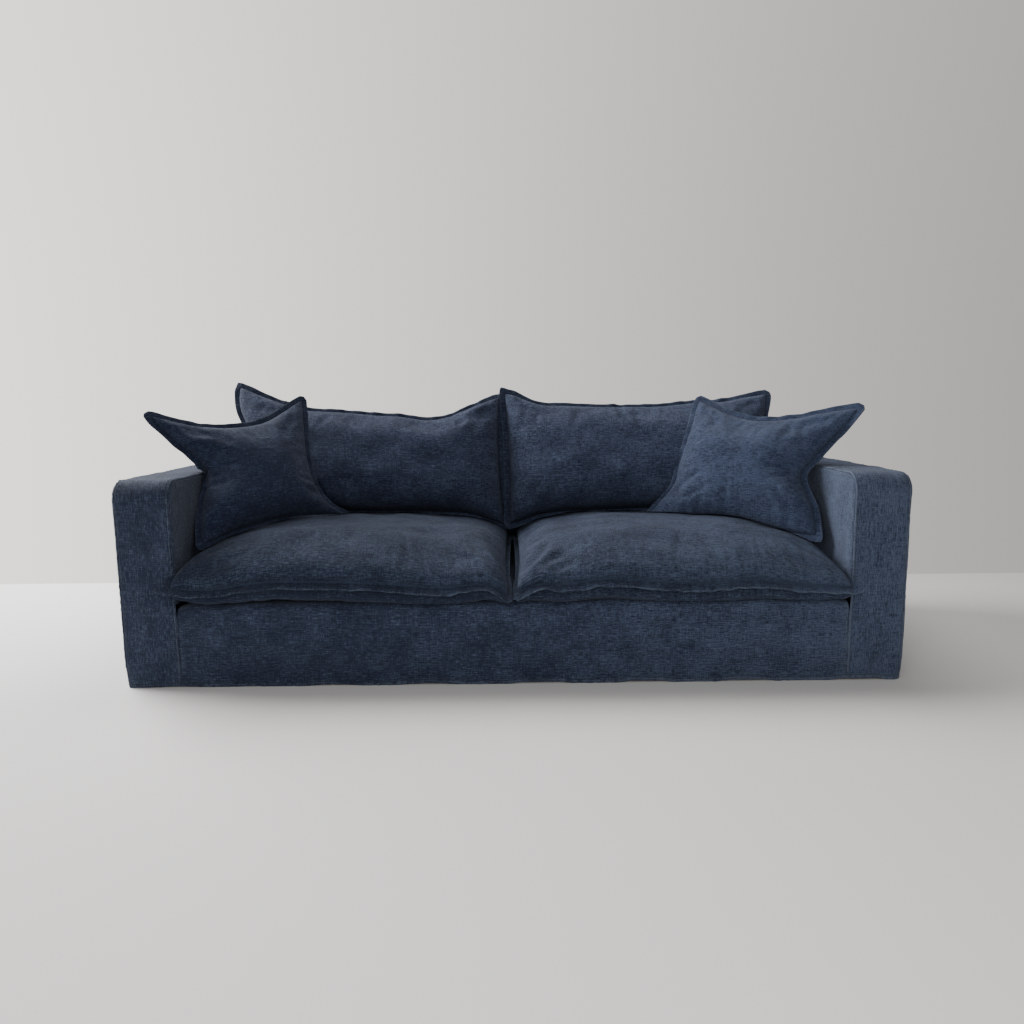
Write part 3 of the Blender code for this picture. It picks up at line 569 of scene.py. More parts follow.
class Panel:
    """One flat-cut panel of cloth: a grid on its lines, with relief and thickness."""

    held = "stretched"
    flip = False
    turned = False
    spacing = 0.012
    seam_crowd = (0.0, 0.001, 0.0025, 0.0045, 0.0065, 0.0078, 0.0088, 0.0096, 0.0106, 0.012,
                  0.0145, 0.018, 0.024, 0.032)

    def __init__(self, name: str, flat: tuple[float, float], seed: int) -> None:
        """Names the panel.

        Args:
            name: Name of the solid that it stands for.
            flat: Width and length that it is cut to.
            seed: Seed of its unevenness.
        """
        self.name = name
        self.flat = flat
        self.seed = seed

    def stations(self) -> tuple[Array, Array]:
        """Stations across and along the panel."""
        raise NotImplementedError

    def surface(self, across: Array, along: Array) -> Array:
        """Points (x, back, up) of the panel's outer face."""
        raise NotImplementedError

    def edges(self, across: Array, along: Array) -> Iterable[tuple[Edge, Array, Array]]:
        """Each sewn edge: its kind, the distance off it and the distance along it."""
        raise NotImplementedError

    def build(self, finish: "WashedLinen") -> bpy.types.Object:
        """Models the panel, dresses it and hands it to the frame."""
        columns, rows = self.stations()
        across, along = np.meshgrid(columns, rows)
        plain = uneven(self.surface(across, along))
        relief = COVER_CRUMPLE.height(plain, self.seed * 10)
        wear = np.zeros_like(across)
        stitch = np.full_like(across, FAR)
        run = along.copy()
        for number, (kind, off, beside) in enumerate(self.edges(across, along)):
            relief *= ease(0.0, 0.030, off) * 0.7 + 0.3
            relief += SEWING.height(kind, off, beside, self.seed * 100 + 7 * number)
            wear = np.maximum(wear, self.edge_wear(kind, off))
            from_line = off - SEWING.stitch_line(kind)
            nearer = np.abs(from_line) < np.abs(stitch)
            stitch = np.where(nearer, from_line, stitch)
            run = np.where(nearer, beside, run)
        outward = grid_normals(plain) * (-1.0 if self.flip else 1.0)
        points = plain + outward * relief[..., None]
        points[..., 2] += self.hem_lift(points)
        points[..., 2] = np.maximum(points[..., 2], 0.0)
        points[..., 1] += SIZES.front_y
        piece, column, row = new_grid(self.name + "_cloth", len(columns), len(rows))
        write_points(piece, points[row, column])
        weft, warp = (along, across) if self.turned else (across, along)
        write_weave_map(piece, weft[row, column] + 0.37 * self.seed, warp[row, column])
        write_attribute(piece, WEAR_AND_HIGHLIGHT, wear[row, column])
        write_attribute(piece, STITCH, stitch[row, column])
        write_attribute(piece, STITCH_RUN, run[row, column])
        # Painted shade: the panel is darker towards the left.
        write_painted_side_shade(piece)
        if self.flip:
            piece.data.flip_normals()
        apply_modifier(piece, "SOLIDIFY", thickness=SIZES.cloth, offset=-1.0, use_even_offset=True)
        shade(piece, math.radians(60))
        finish.dress(piece)
        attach(piece, BODY)
        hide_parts(self.name)
        return piece

    @staticmethod
    def hem_lift(points: Array) -> Array:
        """How far the uneven hem hangs off the floor here and there."""
        wave = SoftNoise(901, HEM_PITCH, 1).along(points[..., 0] + points[..., 1])
        lift = HEM_LIFT * np.clip(0.35 + wave, 0.0, 1.6)
        return lift * ease(HEM_REACH, 0.0, points[..., 2])

    @staticmethod
    def edge_wear(kind: Edge, off: Array) -> Array:
        """How rubbed the cloth is beside a sewn edge, 0 to 1."""
        if kind is Edge.HIDDEN:
            return np.zeros_like(off)
        if kind is Edge.PLAIN:
            return 0.5 * np.exp(-off / 0.006)
        line = SEWING.stitch_line(kind)
        return np.exp(-(((off - 0.55 * line) / (0.45 * line)) ** 2))


class ArmBand(Panel):
    """The long band of one arm: up the front, over the top and back to the outside back."""

    turned = True

    def __init__(self, side: int, seed: int) -> None:
        """Takes the left arm for side -1 and the right arm for side 1."""
        super().__init__("arm_band_right" if side > 0 else "arm_band_left", (0.179, 1.61), seed)
        self.side = side
        self.flip = side < 0
        size = SIZES
        top = size.arm_height - size.arm_front_radius
        rear = size.depth - size.outer_radius
        self.path = Path(
            Straight((0.0, 0.0), (0.0, top)),
            Turn((size.arm_front_radius, top), size.arm_front_radius, math.pi, math.pi / 2),
            Straight((size.arm_front_radius, size.arm_height), (rear, size.arm_height)),
            Turn((rear, size.arm_height - size.outer_radius), size.outer_radius, math.pi / 2,
                 math.pi / 4),
        )
        self.inner = size.inner_x + size.seam_gap
        self.outer = size.half_width - size.seam_gap

    def stations(self) -> tuple[Array, Array]:
        """Stations across the band and along it."""
        columns = fine_stations(self.inner, self.outer, self.spacing, self.seam_crowd)
        hem = (0.0, 0.004, 0.008, 0.0098, 0.011, 0.0122, 0.014, 0.020, 0.030)
        rows = fine_stations(0.0, self.path.length - SIZES.seam_gap, 0.010, hem, self.seam_crowd)
        return columns, rows

    def surface(self, across: Array, along: Array) -> Array:
        """Points of the band, rolled over the arm's two long edges."""
        size = SIZES
        point, outward = self.path.at(along)
        rolled = ease(size.flush_below, size.rolled_above, point[..., 1])
        low, high = size.inside_back - size.inner_radius, size.inside_back + size.inner_radius
        rolled = rolled * (1 - ease(low, high, point[..., 0]))
        inset, inner_drop = edge_roll(across - self.inner, size.inner_radius, rolled)
        inner_x = size.inner_x + size.flat_gap + inset + (size.seam_gap - size.flat_gap) * rolled
        outset, outer_drop = edge_roll(self.outer - across, size.outer_radius)
        nearer = across < (self.inner + self.outer) / 2
        x = np.where(nearer, inner_x, self.outer - outset)
        drop = np.where(nearer, inner_drop, outer_drop)
        return np.stack((self.side * x, point[..., 0] - outward[..., 0] * drop,
                         point[..., 1] - outward[..., 1] * drop), axis=-1)

    def edges(self, across: Array, along: Array) -> Iterable[tuple[Edge, Array, Array]]:
        """A welt along both long edges, a hem below and a plain seam behind."""
        yield Edge.WELT, across - self.inner, along
        yield Edge.WELT, self.outer - across, along
        yield Edge.HEM, along, across
        yield Edge.PLAIN, self.path.length - along, across


def around_corner(from_front: Array, from_top: Array, radius: float) -> tuple[Array, Array, Array]:
    """Reads a rounded outline near its corner.

    Args:
        from_front: Distance behind the outline's upright edge.
        from_top: Distance below its top edge.
        radius: Radius of the corner.

    Returns:
        Depth under the outline, and the outward direction's forward and upward parts.
    """
    sideways = np.clip((radius - from_front) / radius, 0.0, 1.0)
    upwards = np.clip((radius - from_top) / radius, 0.0, 1.0)
    round_side = sideways * np.sqrt(1 - upwards**2 / 2)
    round_up = upwards * np.sqrt(1 - sideways**2 / 2)
    reach = np.hypot(round_side, round_up)
    safe = np.maximum(reach, 1e-9)
    inside = (from_front < radius) & (from_top < radius)
    upright = from_front < from_top
    depth = np.where(inside, (1 - reach) * radius, np.minimum(from_front, from_top))
    forward = np.where(inside, round_side / safe, np.where(upright, 1.0, 0.0))
    upward = np.where(inside, round_up / safe, np.where(upright, 0.0, 1.0))
    return depth, forward, upward


class SidePanel(Panel):
    """An upright side panel of one arm, with rounded top corners and rolled edges."""

    turned = True

    def __init__(self, name: str, flat: tuple[float, float], seed: int, side: int, plane: float,
                 inwards: int, roll: float, rear_corner: float, bottom: float) -> None:
        """Describes the panel.

        Args:
            name: Name of the solid that it stands for.
            flat: Width and length that it is cut to.
            seed: Seed of its unevenness.
            side: -1 for the left arm, 1 for the right arm.
            plane: Distance of the panel from the middle of the cover.
            inwards: 1 where the panel faces the middle, -1 where it faces outwards.
            roll: Radius that its edges roll over.
            rear_corner: Radius of its rear top corner, 0 where it runs on.
            bottom: Height of its lower edge.
        """
        super().__init__(name, flat, seed)
        self.side = side
        self.plane = plane
        self.inwards = inwards
        self.roll = roll
        self.rear_corner = rear_corner
        self.bottom = bottom
        self.flip = side * inwards > 0

    def stations(self) -> tuple[Array, Array]:
        """Stations from front to back and from the lower edge up."""
        size = SIZES
        gap = size.seam_gap
        edge = (0.0, 0.002, 0.0045, 0.0075, 0.011, 0.015, 0.020, 0.026, 0.033, 0.042, 0.052)
        end = size.depth - gap if self.rear_corner else size.inside_back - size.cloth
        rear = (0.0, 0.002, 0.005, 0.010, 0.015, 0.020, 0.028) if self.rear_corner else (0.0,)
        columns = fine_stations(gap, end, 0.013, edge, rear)
        hem = (0.0, 0.004, 0.008, 0.0098, 0.011, 0.0122, 0.014, 0.020, 0.030)
        low = hem if self.bottom == 0 else (0.0,)
        rows = fine_stations(self.bottom, size.arm_height - gap, 0.013, low, edge)
        return columns, rows

    def outline_depth(self, back: Array, up: Array) -> tuple[Array, Array, Array, Array, Array]:
        """Depth under the outline, its outward direction, and the corner's own point."""
        size = SIZES
        top = size.arm_height - up
        depth, forward, upward = around_corner(back, top, size.arm_front_radius)
        inside = (back < size.arm_front_radius) & (top < size.arm_front_radius)
        heading = -forward
        middle = size.arm_front_radius
        reach = size.arm_front_radius
        corner_back = np.where(inside, middle + heading * (reach - depth), back)
        corner_up = np.where(inside, size.arm_height - middle + upward * (reach - depth), up)
        if self.rear_corner:
            rear = self.rear_corner
            behind = back > size.depth / 2
            rear_depth, rearward, rear_up = around_corner(size.depth - back, top, rear)
            in_rear = behind & (size.depth - back < rear) & (top < rear)
            depth = np.where(behind, rear_depth, depth)
            heading = np.where(behind, rearward, heading)
            upward = np.where(behind, rear_up, upward)
            place = size.depth - rear + rearward * (rear - rear_depth)
            corner_back = np.where(in_rear, place, corner_back)
            height = size.arm_height - rear + rear_up * (rear - rear_depth)
            corner_up = np.where(in_rear, height, corner_up)
        return depth, heading, upward, corner_back, corner_up

    def surface(self, across: Array, along: Array) -> Array:
        """Points of the panel; across runs to the back and along runs up."""
        depth, heading, upward, back, up = self.outline_depth(across, along)
        inset, drop = edge_roll(depth, self.roll)
        shift = np.where(depth < self.roll, np.minimum(depth, self.roll) - inset, 0.0)
        x = self.side * (self.plane + self.inwards * drop)
        return np.stack((x, back + heading * shift, up + upward * shift), axis=-1)

    def edges(self, across: Array, along: Array) -> Iterable[tuple[Edge, Array, Array]]:
        """A plain seam round the outline and a hem at the floor."""
        depth, heading, _, _, _ = self.outline_depth(across, along)
        yield Edge.PLAIN, depth, np.where(np.abs(heading) > 0.7, along, across)
        if self.bottom == 0:
            yield Edge.HEM, along, across


def arm_outside(side: int, seed: int) -> SidePanel:
    """The flat panel on the outer side of one arm."""
    name = "arm_outside_right" if side > 0 else "arm_outside_left"
    size = SIZES
    panel = SidePanel(name, (1.0, 0.642), seed, side, size.half_width, -1, size.outer_radius,
                      size.outer_radius, 0.0)
    panel.held = "hung"
    return panel


def arm_inside(side: int, seed: int) -> SidePanel:
    """The panel on the inner side of one arm, from the deck up."""
    name = "arm_inside_right" if side > 0 else "arm_inside_left"
    size = SIZES
    return SidePanel(name, (0.82, 0.38), seed, side, size.inner_x, 1, size.inner_radius, 0.0,
                     size.deck_height + size.flat_gap)


class FrontRail(Panel):
    """The front panel between the arms, rolled over the seat rail to the deck."""

    held = "hung"

    def __init__(self, seed: int) -> None:
        """Lays out the panel's side view."""
        super().__init__("front_rail", (2.05, 0.30), seed)
        size = SIZES
        top = size.deck_height - size.rail_radius
        self.path = Path(
            Straight((0.0, 0.0), (0.0, top)),
            Turn((size.rail_radius, top), size.rail_radius, math.pi, math.pi / 2),
            Straight((size.rail_radius, size.deck_height), (2 * size.rail_radius, size.deck_height)),
        )
        self.end = size.inner_x - size.flat_gap

    def stations(self) -> tuple[Array, Array]:
        """Stations across the rail and up it."""
        side = (0.0, 0.0015, 0.004, 0.008, 0.014, 0.022, 0.034)
        columns = fine_stations(-self.end, self.end, 0.012, side)
        hem = (0.0, 0.004, 0.008, 0.0098, 0.011, 0.0122, 0.014, 0.020, 0.030)
        rows = fine_stations(0.0, self.path.length - SIZES.flat_gap, 0.009, hem, (0.0,))
        return columns, rows

    def surface(self, across: Array, along: Array) -> Array:
        """Points of the rail, a little lower beside the arms."""
        size = SIZES
        point, _ = self.path.at(along)
        beside = ease(size.inner_x - size.rail_dip_reach, size.inner_x, np.abs(across))
        dip = size.rail_dip * beside * ease(size.deck_height / 2, size.deck_height, point[..., 1])
        return np.stack((across, point[..., 0], point[..., 1] - dip), axis=-1)

    def edges(self, across: Array, along: Array) -> Iterable[tuple[Edge, Array, Array]]:
        """Plain seams at the arms and a hem below."""
        yield Edge.PLAIN, self.end - np.abs(across), along
        yield Edge.HEM, along, across


class Deck(Panel):
    """The flat panel under the seat cushions."""

    held = "laid"

    def __init__(self, seed: int) -> None:
        """Lays out the panel."""
        super().__init__("deck", (2.05, 0.77), seed)
        self.end = SIZES.inner_x - SIZES.flat_gap

    def stations(self) -> tuple[Array, Array]:
        """Stations across the deck and to the back."""
        size = SIZES
        columns = fine_stations(-self.end, self.end, 0.030, (0.0, 0.010, 0.022, 0.040))
        front = 2 * size.rail_radius + size.flat_gap
        rows = fine_stations(front, size.inside_back - size.flat_gap, 0.030, (0.0,))
        return columns, rows

    def surface(self, across: Array, along: Array) -> Array:
        """Points of the deck."""
        size = SIZES
        beside = ease(size.inner_x - size.rail_dip_reach, size.inner_x, np.abs(across))
        dip = size.rail_dip * beside * (1 - ease(0.060, 0.200, along))
        height = size.deck_height - 0.0015 - dip
        return np.stack((across, along, height), axis=-1)

    def edges(self, across: Array, along: Array) -> Iterable[tuple[Edge, Array, Array]]:
        """Plain seams at the arms."""
        yield Edge.PLAIN, self.end - np.abs(across), along


class InsideBack(Panel):
    """The panel in front of the sofa's back, from the deck up."""

    def __init__(self, seed: int) -> None:
        """Lays out the panel."""
        super().__init__("inside_back", (2.05, 0.38), seed)
        self.end = SIZES.inner_x - SIZES.flat_gap

    def stations(self) -> tuple[Array, Array]:
        """Stations across the panel and up it."""
        size = SIZES
        columns = fine_stations(-self.end, self.end, 0.020, (0.0, 0.004, 0.010, 0.020))
        low = size.deck_height + size.flat_gap
        rows = fine_stations(low, size.arm_height - size.seam_gap, 0.015, (0.0,), self.seam_crowd)
        return columns, rows

    def surface(self, across: Array, along: Array) -> Array:
        """Points of the panel, rolled towards the band at its top."""
        size = SIZES
        inset, drop = edge_roll(size.arm_height - along, size.inner_radius)
        height = np.where(drop > 0, size.arm_height - inset, along)
        return np.stack((across, size.inside_back + drop, height), axis=-1)

    def edges(self, across: Array, along: Array) -> Iterable[tuple[Edge, Array, Array]]:
        """Plain seams at the arms and the band."""
        yield Edge.PLAIN, self.end - np.abs(across), along
        yield Edge.PLAIN, SIZES.arm_height - along, across


class BackBand(Panel):
    """The band over the top of the sofa's back, between the two arm bands."""

    def __init__(self, seed: int) -> None:
        """Lays out the band's side view."""
        super().__init__("back_band", (2.05, 0.17), seed)
        size = SIZES
        front = size.inside_back + size.inner_radius
        rear = size.depth - size.outer_radius
        height = size.arm_height
        self.path = Path(
            Turn((front, height - size.inner_radius), size.inner_radius, 0.75 * math.pi, math.pi / 2),
            Straight((front, height), (rear, height)),
            Turn((rear, height - size.outer_radius), size.outer_radius, math.pi / 2, math.pi / 4),
        )
        self.end = size.inner_x - size.flat_gap

    def stations(self) -> tuple[Array, Array]:
        """Stations across the band and to the back."""
        columns = fine_stations(-self.end, self.end, 0.015, (0.0, 0.004, 0.010, 0.020))
        gap = SIZES.seam_gap
        rows = fine_stations(gap, self.path.length - gap, 0.012, self.seam_crowd)
        return columns, rows

    def surface(self, across: Array, along: Array) -> Array:
        """Points of the band."""
        point, _ = self.path.at(along)
        return np.stack((across, point[..., 0], point[..., 1]), axis=-1)

    def edges(self, across: Array, along: Array) -> Iterable[tuple[Edge, Array, Array]]:
        """Welts along both long edges and plain seams at the arms."""
        yield Edge.WELT, along, across
        yield Edge.WELT, self.path.length - along, across
        yield Edge.PLAIN, self.end - np.abs(across), along


class OutsideBack(Panel):
    """The full-width panel behind the sofa, from the top seam to the hem."""

    held = "hung"

    def __init__(self, seed: int) -> None:
        """Lays out the panel's side view."""
        super().__init__("outside_back", (2.41, 0.64), seed)
        size = SIZES
        rear = size.depth - size.outer_radius
        top = size.arm_height - size.outer_radius
        self.path = Path(
            Turn((rear, top), size.outer_radius, math.pi / 4, 0.0),
            Straight((size.depth, top), (size.depth, 0.0)),
        )
        self.outer = size.half_width - size.seam_gap

    def stations(self) -> tuple[Array, Array]:
        """Stations across the panel and down it."""
        columns = fine_stations(-self.outer, self.outer, 0.015, self.seam_crowd)
        hem = (0.0, 0.004, 0.008, 0.0098, 0.011, 0.0122, 0.014, 0.020, 0.030)
        edge = (0.0, 0.002, 0.005, 0.009, 0.014, 0.020)
        rows = fine_stations(SIZES.seam_gap, self.path.length, 0.013, edge, hem)
        return columns, rows

    def surface(self, across: Array, along: Array) -> Array:
        """Points of the panel, rolled at its upright edges."""
        point, outward = self.path.at(along)
        inset, drop = edge_roll(self.outer - np.abs(across), SIZES.outer_radius)
        x = np.where(drop > 0, np.sign(across) * (self.outer - inset), across)
        return np.stack((x, point[..., 0] - outward[..., 0] * drop,
                         point[..., 1] - outward[..., 1] * drop), axis=-1)

    def edges(self, across: Array, along: Array) -> Iterable[tuple[Edge, Array, Array]]:
        """Plain seams above and at the sides, and a hem below."""
        yield Edge.PLAIN, self.outer - np.abs(across), along
        yield Edge.PLAIN, along, across
        yield Edge.HEM, self.path.length - along, across


@dataclass(frozen=True)
class Crease:
    """A soft crease on a cushion's face, from start to end in the cushion's own plane."""

    start: tuple[float, float]
    end: tuple[float, float]
    width: float
    depth: float
    bend: float = 0.0

    def height(self, a: Array, b: Array) -> Array:
        """Trough and the two soft ridges beside it."""
        start, end = np.array(self.start), np.array(self.end)
        span = end - start
        length = np.linalg.norm(span)
        heading = span / length
        from_start = np.stack((a - start[0], b - start[1]), axis=-1)
        part = from_start @ heading / length
        off = from_start @ np.array((-heading[1], heading[0]))
        off = off - self.bend * 4 * part * (1 - part)
        inside = np.clip(part, 0.0, 1.0)
        past = (part - inside) * length
        taper = np.sqrt(np.clip(4 * inside * (1 - inside), 0, 1))
        taper = taper * np.exp(-((past / self.width) ** 2))
        distance = off / (self.width * (0.55 + 0.45 * taper))
        trough = -np.exp(-(distance**2))
        ridges = 0.5 * np.exp(-((np.abs(distance) - 1.9) ** 2))
        return self.depth * taper * (trough + ridges)


@dataclass(frozen=True)
class Flange:
    """The flat stitched border of a cushion."""

    width: float = 0.022
    thickness: float = 0.0044
    stitched: float = 0.0026
    stitch_reach: float = 0.12
    bluntness: float = 0.16
    ear_reach: float = 0.080
    stations: tuple[float, ...] = (1.0, 0.975, 0.93, 0.84, 0.66, 0.44, 0.24, 0.10)

    def half_thickness(self, part: Array) -> Array:
        """Half the border's thickness, part of the way from the seam to its edge."""
        rounded = np.sqrt(np.clip(1 - np.clip((part - 0.86) / 0.14, 0, 1) ** 2, 0.06, 1))
        pinch = (self.thickness - self.stitched) * np.exp(-((part / self.stitch_reach) ** 2))
        return (self.thickness - pinch) / 2 * rounded


FLANGE = Flange()


@dataclass(frozen=True)
class CushionPattern:
    """The pattern of one filled cushion, laid out on its own flat plane.

    On that plane a runs across, b up the cushion's face, and lift towards its front.
    Corners are in the order bottom left, bottom right, top right, top left. An edge's rows
    are (place along it, how far the seam is drawn in, seam's lift, flange's further lift).
    """

    name: str
    centre: tuple[float, float, float]
    across: tuple[float, float, float]
    up: tuple[float, float, float]
    seam_corners: tuple[tuple[float, float, float], ...]
    flange_tips: tuple[tuple[float, float, float], ...]
    bottom: tuple[tuple[float, ...], ...]
    right: tuple[tuple[float, ...], ...]
    top: tuple[tuple[float, ...], ...]
    left: tuple[tuple[float, ...], ...]
    front_height: float
    back_height: float
    fullness: float
    shoulder: float
    back_shoulder: float
    belly: float
    low_weight: float = 0.0
    seed: int = 1
    spacing: float = 0.012
    fill: float = 0.7
    slack: float = 0.012
    cap: float = 0.008
    pucker: float = 0.0016
    ripple: float = 0.0014
    top_ripple: float = 0.0
    left_belly: float = 0.0
    right_belly: float = 0.0
    own_side: int = 0
    # How much painted shade darkens the cushion's underside.
    painted_under_shade: float = 0.0
    ears: tuple[float, ...] = (0.30, 0.30, 0.30, 0.30)
    creases: tuple[Crease, ...] = ()

    def axes(self) -> Array:
        """Unit vectors across, up and to the front, as rows."""
        across = np.array(self.across) / np.linalg.norm(self.across)
        up = np.array(self.up) - across * np.dot(self.up, across)
        up /= np.linalg.norm(up)
        return np.stack((across, up, np.cross(across, up)))

    def seam(self, edge: str, part: Array) -> tuple[Array, Array]:
        """Seam points (a, b, lift) and the flange's further lift along one edge."""
        bottom_left, bottom_right, top_right, top_left = map(np.array, self.seam_corners)
        ends = {
            "bottom": (bottom_left, bottom_right, self.bottom, (0.0, 1.0)),
            "top": (top_left, top_right, self.top, (0.0, -1.0)),
            "left": (bottom_left, top_left, self.left, (1.0, 0.0)),
            "right": (bottom_right, top_right, self.right, (-1.0, 0.0)),
        }
        start, end, rows, inward = ends[edge]
        read = interpolate(rows, part)
        point = start * (1 - part[..., None]) + end * part[..., None]
        shift = np.stack((inward[0] * read[..., 0], inward[1] * read[..., 0], read[..., 1]), axis=-1)
        return point + shift, read[..., 2]

    def lengths(self) -> tuple[float, float]:
        """Rough width and height inside the seam."""
        corners = np.array(self.seam_corners)
        width = np.linalg.norm(corners[1] - corners[0] + corners[2] - corners[3]) / 2
        height = np.linalg.norm(corners[3] - corners[0] + corners[2] - corners[1]) / 2
        return float(width), float(height)


def crown(part: Array, fullness: float, shoulder: float) -> Array:
    """How full a cushion is, 0 at a seam and 1 in the middle, for part from 0 to 1."""
    off_middle = np.minimum(np.abs(2 * part - 1), 1.0)
    return (1 - off_middle**fullness) ** (1 / shoulder)


class Neighbours:
    """What a cushion settles against: the cover's panels and the cushions already there."""

    clearance = 0.004
    stand_off = 0.010
    edge_span = 0.040

    def __init__(self) -> None:
        """Starts with no cushions."""
        self.trees: list[tuple[BVHTree, Vector]] = []

    def add(self, piece: bpy.types.Object, direction: tuple[float, float, float]) -> None:
        """Adds a cushion that later ones are kept from, in the direction given."""
        points = [tuple(point) for point in read_points(piece)]
        faces = [tuple(face.vertices) for face in piece.data.polygons]
        self.trees.append((BVHTree.FromPolygons(points, faces), Vector(direction)))

    def clear_cushions(self, points: Array) -> Array:
        """Moves points back until they are clear of every cushion added so far."""
        settled = points.copy()
        far = 3.0
        for tree, heading in self.trees:
            for number, point in enumerate(settled):
                start = Vector(point) - heading * far
                hit, _, _, distance = tree.ray_cast(start, heading)
                if hit is not None and distance < far + self.clearance:
                    settled[number] = start + heading * (distance - self.clearance)
        return settled

    def clear_cover(self, points: Array) -> Array:
        """Keeps points above the deck, between or over the arms, and before the back."""
        size = SIZES
        x, back, up = points[:, 0].copy(), points[:, 1] - size.front_y, points[:, 2].copy()
        gap = self.clearance
        up = np.maximum(up, size.deck_height + size.flat_gap)
        over = size.arm_height + gap
        leaning = (up <= over - (back - size.inside_back)) & (back >= size.inside_back - gap)
        back = np.where(leaning, size.inside_back - gap, back)
        beyond = np.abs(x) - size.inner_x + gap
        below = over - up
        beside = (beyond < below) & (back >= -gap)
        on_top = (beyond >= below) & (back >= -gap)
        side_off = self.stand_off * np.clip(1 - np.abs(below) / self.edge_span, 0, 1)
        top_off = self.stand_off * np.clip(1 - np.abs(beyond) / self.edge_span, 0, 1)
        limit = size.inner_x - gap - side_off
        x = np.where(beside, np.sign(x) * np.minimum(np.abs(x), limit), x)
        up = np.where(on_top, np.maximum(up, over + top_off), up)
        return np.stack((x, back + size.front_y, up), axis=-1)


class Cushion:
    """One filled cushion with a stitched flange, blown up by a cloth simulation."""

    def __init__(self, pattern: CushionPattern, neighbours: Neighbours) -> None:
        """Takes the cushion's pattern and what it settles against."""
        self.pattern = pattern
        self.neighbours = neighbours

    def stations(self, length: float) -> Array:
        """Parts of an edge, below 0 and above 1 on the flange, crowded at the seams."""
        near = (0.0, 0.003, 0.0075, 0.0135, 0.021, 0.030, 0.040, 0.051)
        body = fine_stations(0.0, length, self.pattern.spacing, near) / length
        flange = np.array(FLANGE.stations)
        return np.concatenate((-flange, body, 1 + flange[::-1]))

    def flat_points(self, across: Array, upward: Array, face: Array) -> Array:
        """Points (a, b, lift) of the cushion as cut, filled and stitched.

        Args:
            across: Parts of the width, outside 0 to 1 on the flange.
            upward: Parts of the height, likewise.
            face: 1 on the front, -1 on the back.

        Returns:
            The points, along a new last axis.
        """
        pattern = self.pattern
        inner_u, inner_v = np.clip(across, 0, 1), np.clip(upward, 0, 1)
        corners = [np.array(corner) for corner in pattern.seam_corners]
        bottom, bottom_lift = pattern.seam("bottom", inner_u)
        top, top_lift = pattern.seam("top", inner_u)
        left, left_lift = pattern.seam("left", inner_v)
        right, right_lift = pattern.seam("right", inner_v)
        u, v = inner_u[..., None], inner_v[..., None]
        flat = (1 - v) * ((1 - u) * corners[0] + u * corners[1])
        flat += v * ((1 - u) * corners[3] + u * corners[2])
        points = (1 - v) * bottom + v * top + (1 - u) * left + u * right - flat
        part_u, part_v = np.abs(across - inner_u), np.abs(upward - inner_v)
        blunt = 1 - FLANGE.bluntness * (part_u * part_v) ** 2
        side_u, side_v = np.sign(across - inner_u), np.sign(upward - inner_v)
        zero = np.zeros_like(across)
        side_lift = np.where(side_u < 0, left_lift, right_lift)
        edge_lift = np.where(side_v < 0, bottom_lift, top_lift)
        sideways = np.stack((side_u * FLANGE.width, zero, side_lift), axis=-1)
        endways = np.stack((zero, side_v * FLANGE.width, edge_lift), axis=-1)
        tips = np.array(pattern.flange_tips)
        corner = np.where(upward < 0.5, np.where(across < 0.5, 0, 1), np.where(across < 0.5, 3, 2))
        tip = tips[corner]
        width, height = pattern.lengths()
        off_corner = np.hypot(np.minimum(inner_u, 1 - inner_u) * width,
                              np.minimum(inner_v, 1 - inner_v) * height)
        share = np.array(pattern.ears)[corner]
        ear = share * np.exp(-((off_corner / FLANGE.ear_reach) ** 2))
        points += ear[..., None] * tip
        tip = tip * (1 - share)[..., None]
        s, t = (part_u * blunt)[..., None], (part_v * blunt)[..., None]
        points += s * sideways + t * endways + s * t * (tip - sideways - endways)
        shoulder = np.where(face > 0, pattern.shoulder, pattern.back_shoulder)
        full = crown(inner_u, pattern.fullness, shoulder) * crown(inner_v, pattern.fullness, shoulder)
        full = full * (1 + pattern.low_weight * (0.5 - inner_v))
        height = np.where(face > 0, pattern.front_height, pattern.back_height)
        bulge = np.where(full < 1, 4 * full * (1 - full), 0.0)
        side_belly = np.where(inner_u < 0.5, pattern.left_belly, pattern.right_belly)
        points[..., 0] += bulge * (pattern.belly + side_belly) * (2 * inner_u - 1) ** 9
        points[..., 1] += bulge * pattern.belly * (2 * inner_v - 1) ** 9
        points[..., 2] += face * (height * full + FLANGE.half_thickness(np.maximum(part_u, part_v)))
        return points

    def sewn_relief(self, across: Array, upward: Array, face: Array) -> Array:
        """Lift of the puckers beside the seam and of the ripples in the flange."""
        pattern = self.pattern
        width, height = pattern.lengths()
        inner_u, inner_v = np.clip(across, 0, 1), np.clip(upward, 0, 1)
        run_u, run_v = inner_u * width, inner_v * height
        part = np.maximum(np.abs(across - inner_u), np.abs(upward - inner_v))
        relief = np.zeros_like(across)
        sides = (
            (run_u, run_v, across < 0),
            (width - run_u, run_v, across > 1),
            (run_v, run_u, upward < 0),
            (height - run_v, run_u, upward > 1),
        )
        for number, (off, along, outside) in enumerate(sides):
            seed = pattern.seed * 100 + number * 10
            ripple = SoftNoise(seed, 0.052, 1).along(along)
            sharp = SoftNoise(seed + 1, 0.028, 1).along(along)
            slow = np.clip(0.7 + 0.6 * SoftNoise(seed + 2, 0.16, 1).along(along), 0.0, 1.8)
            folds = (0.75 * ripple + 0.45 * sharp) * slow
            reach = (off / 0.012) * np.exp(1 - off / 0.012) * (off < 0.15)
            long_reach = (off / 0.034) * np.exp(1 - off / 0.034) * (off < 0.25)
            face_side = SoftNoise(seed + 3, 0.06, 1).along(along) * face
            relief += face * pattern.pucker * (0.55 * reach * folds + 0.25 * long_reach * face_side)
            amount = pattern.ripple + (pattern.top_ripple if number == 3 else 0.0)
            wave = 0.8 * ripple + 0.9 * SoftNoise(seed + 4, 0.085, 1).along(along)
            relief += np.where(outside, amount * part * wave, 0.0)
        return relief

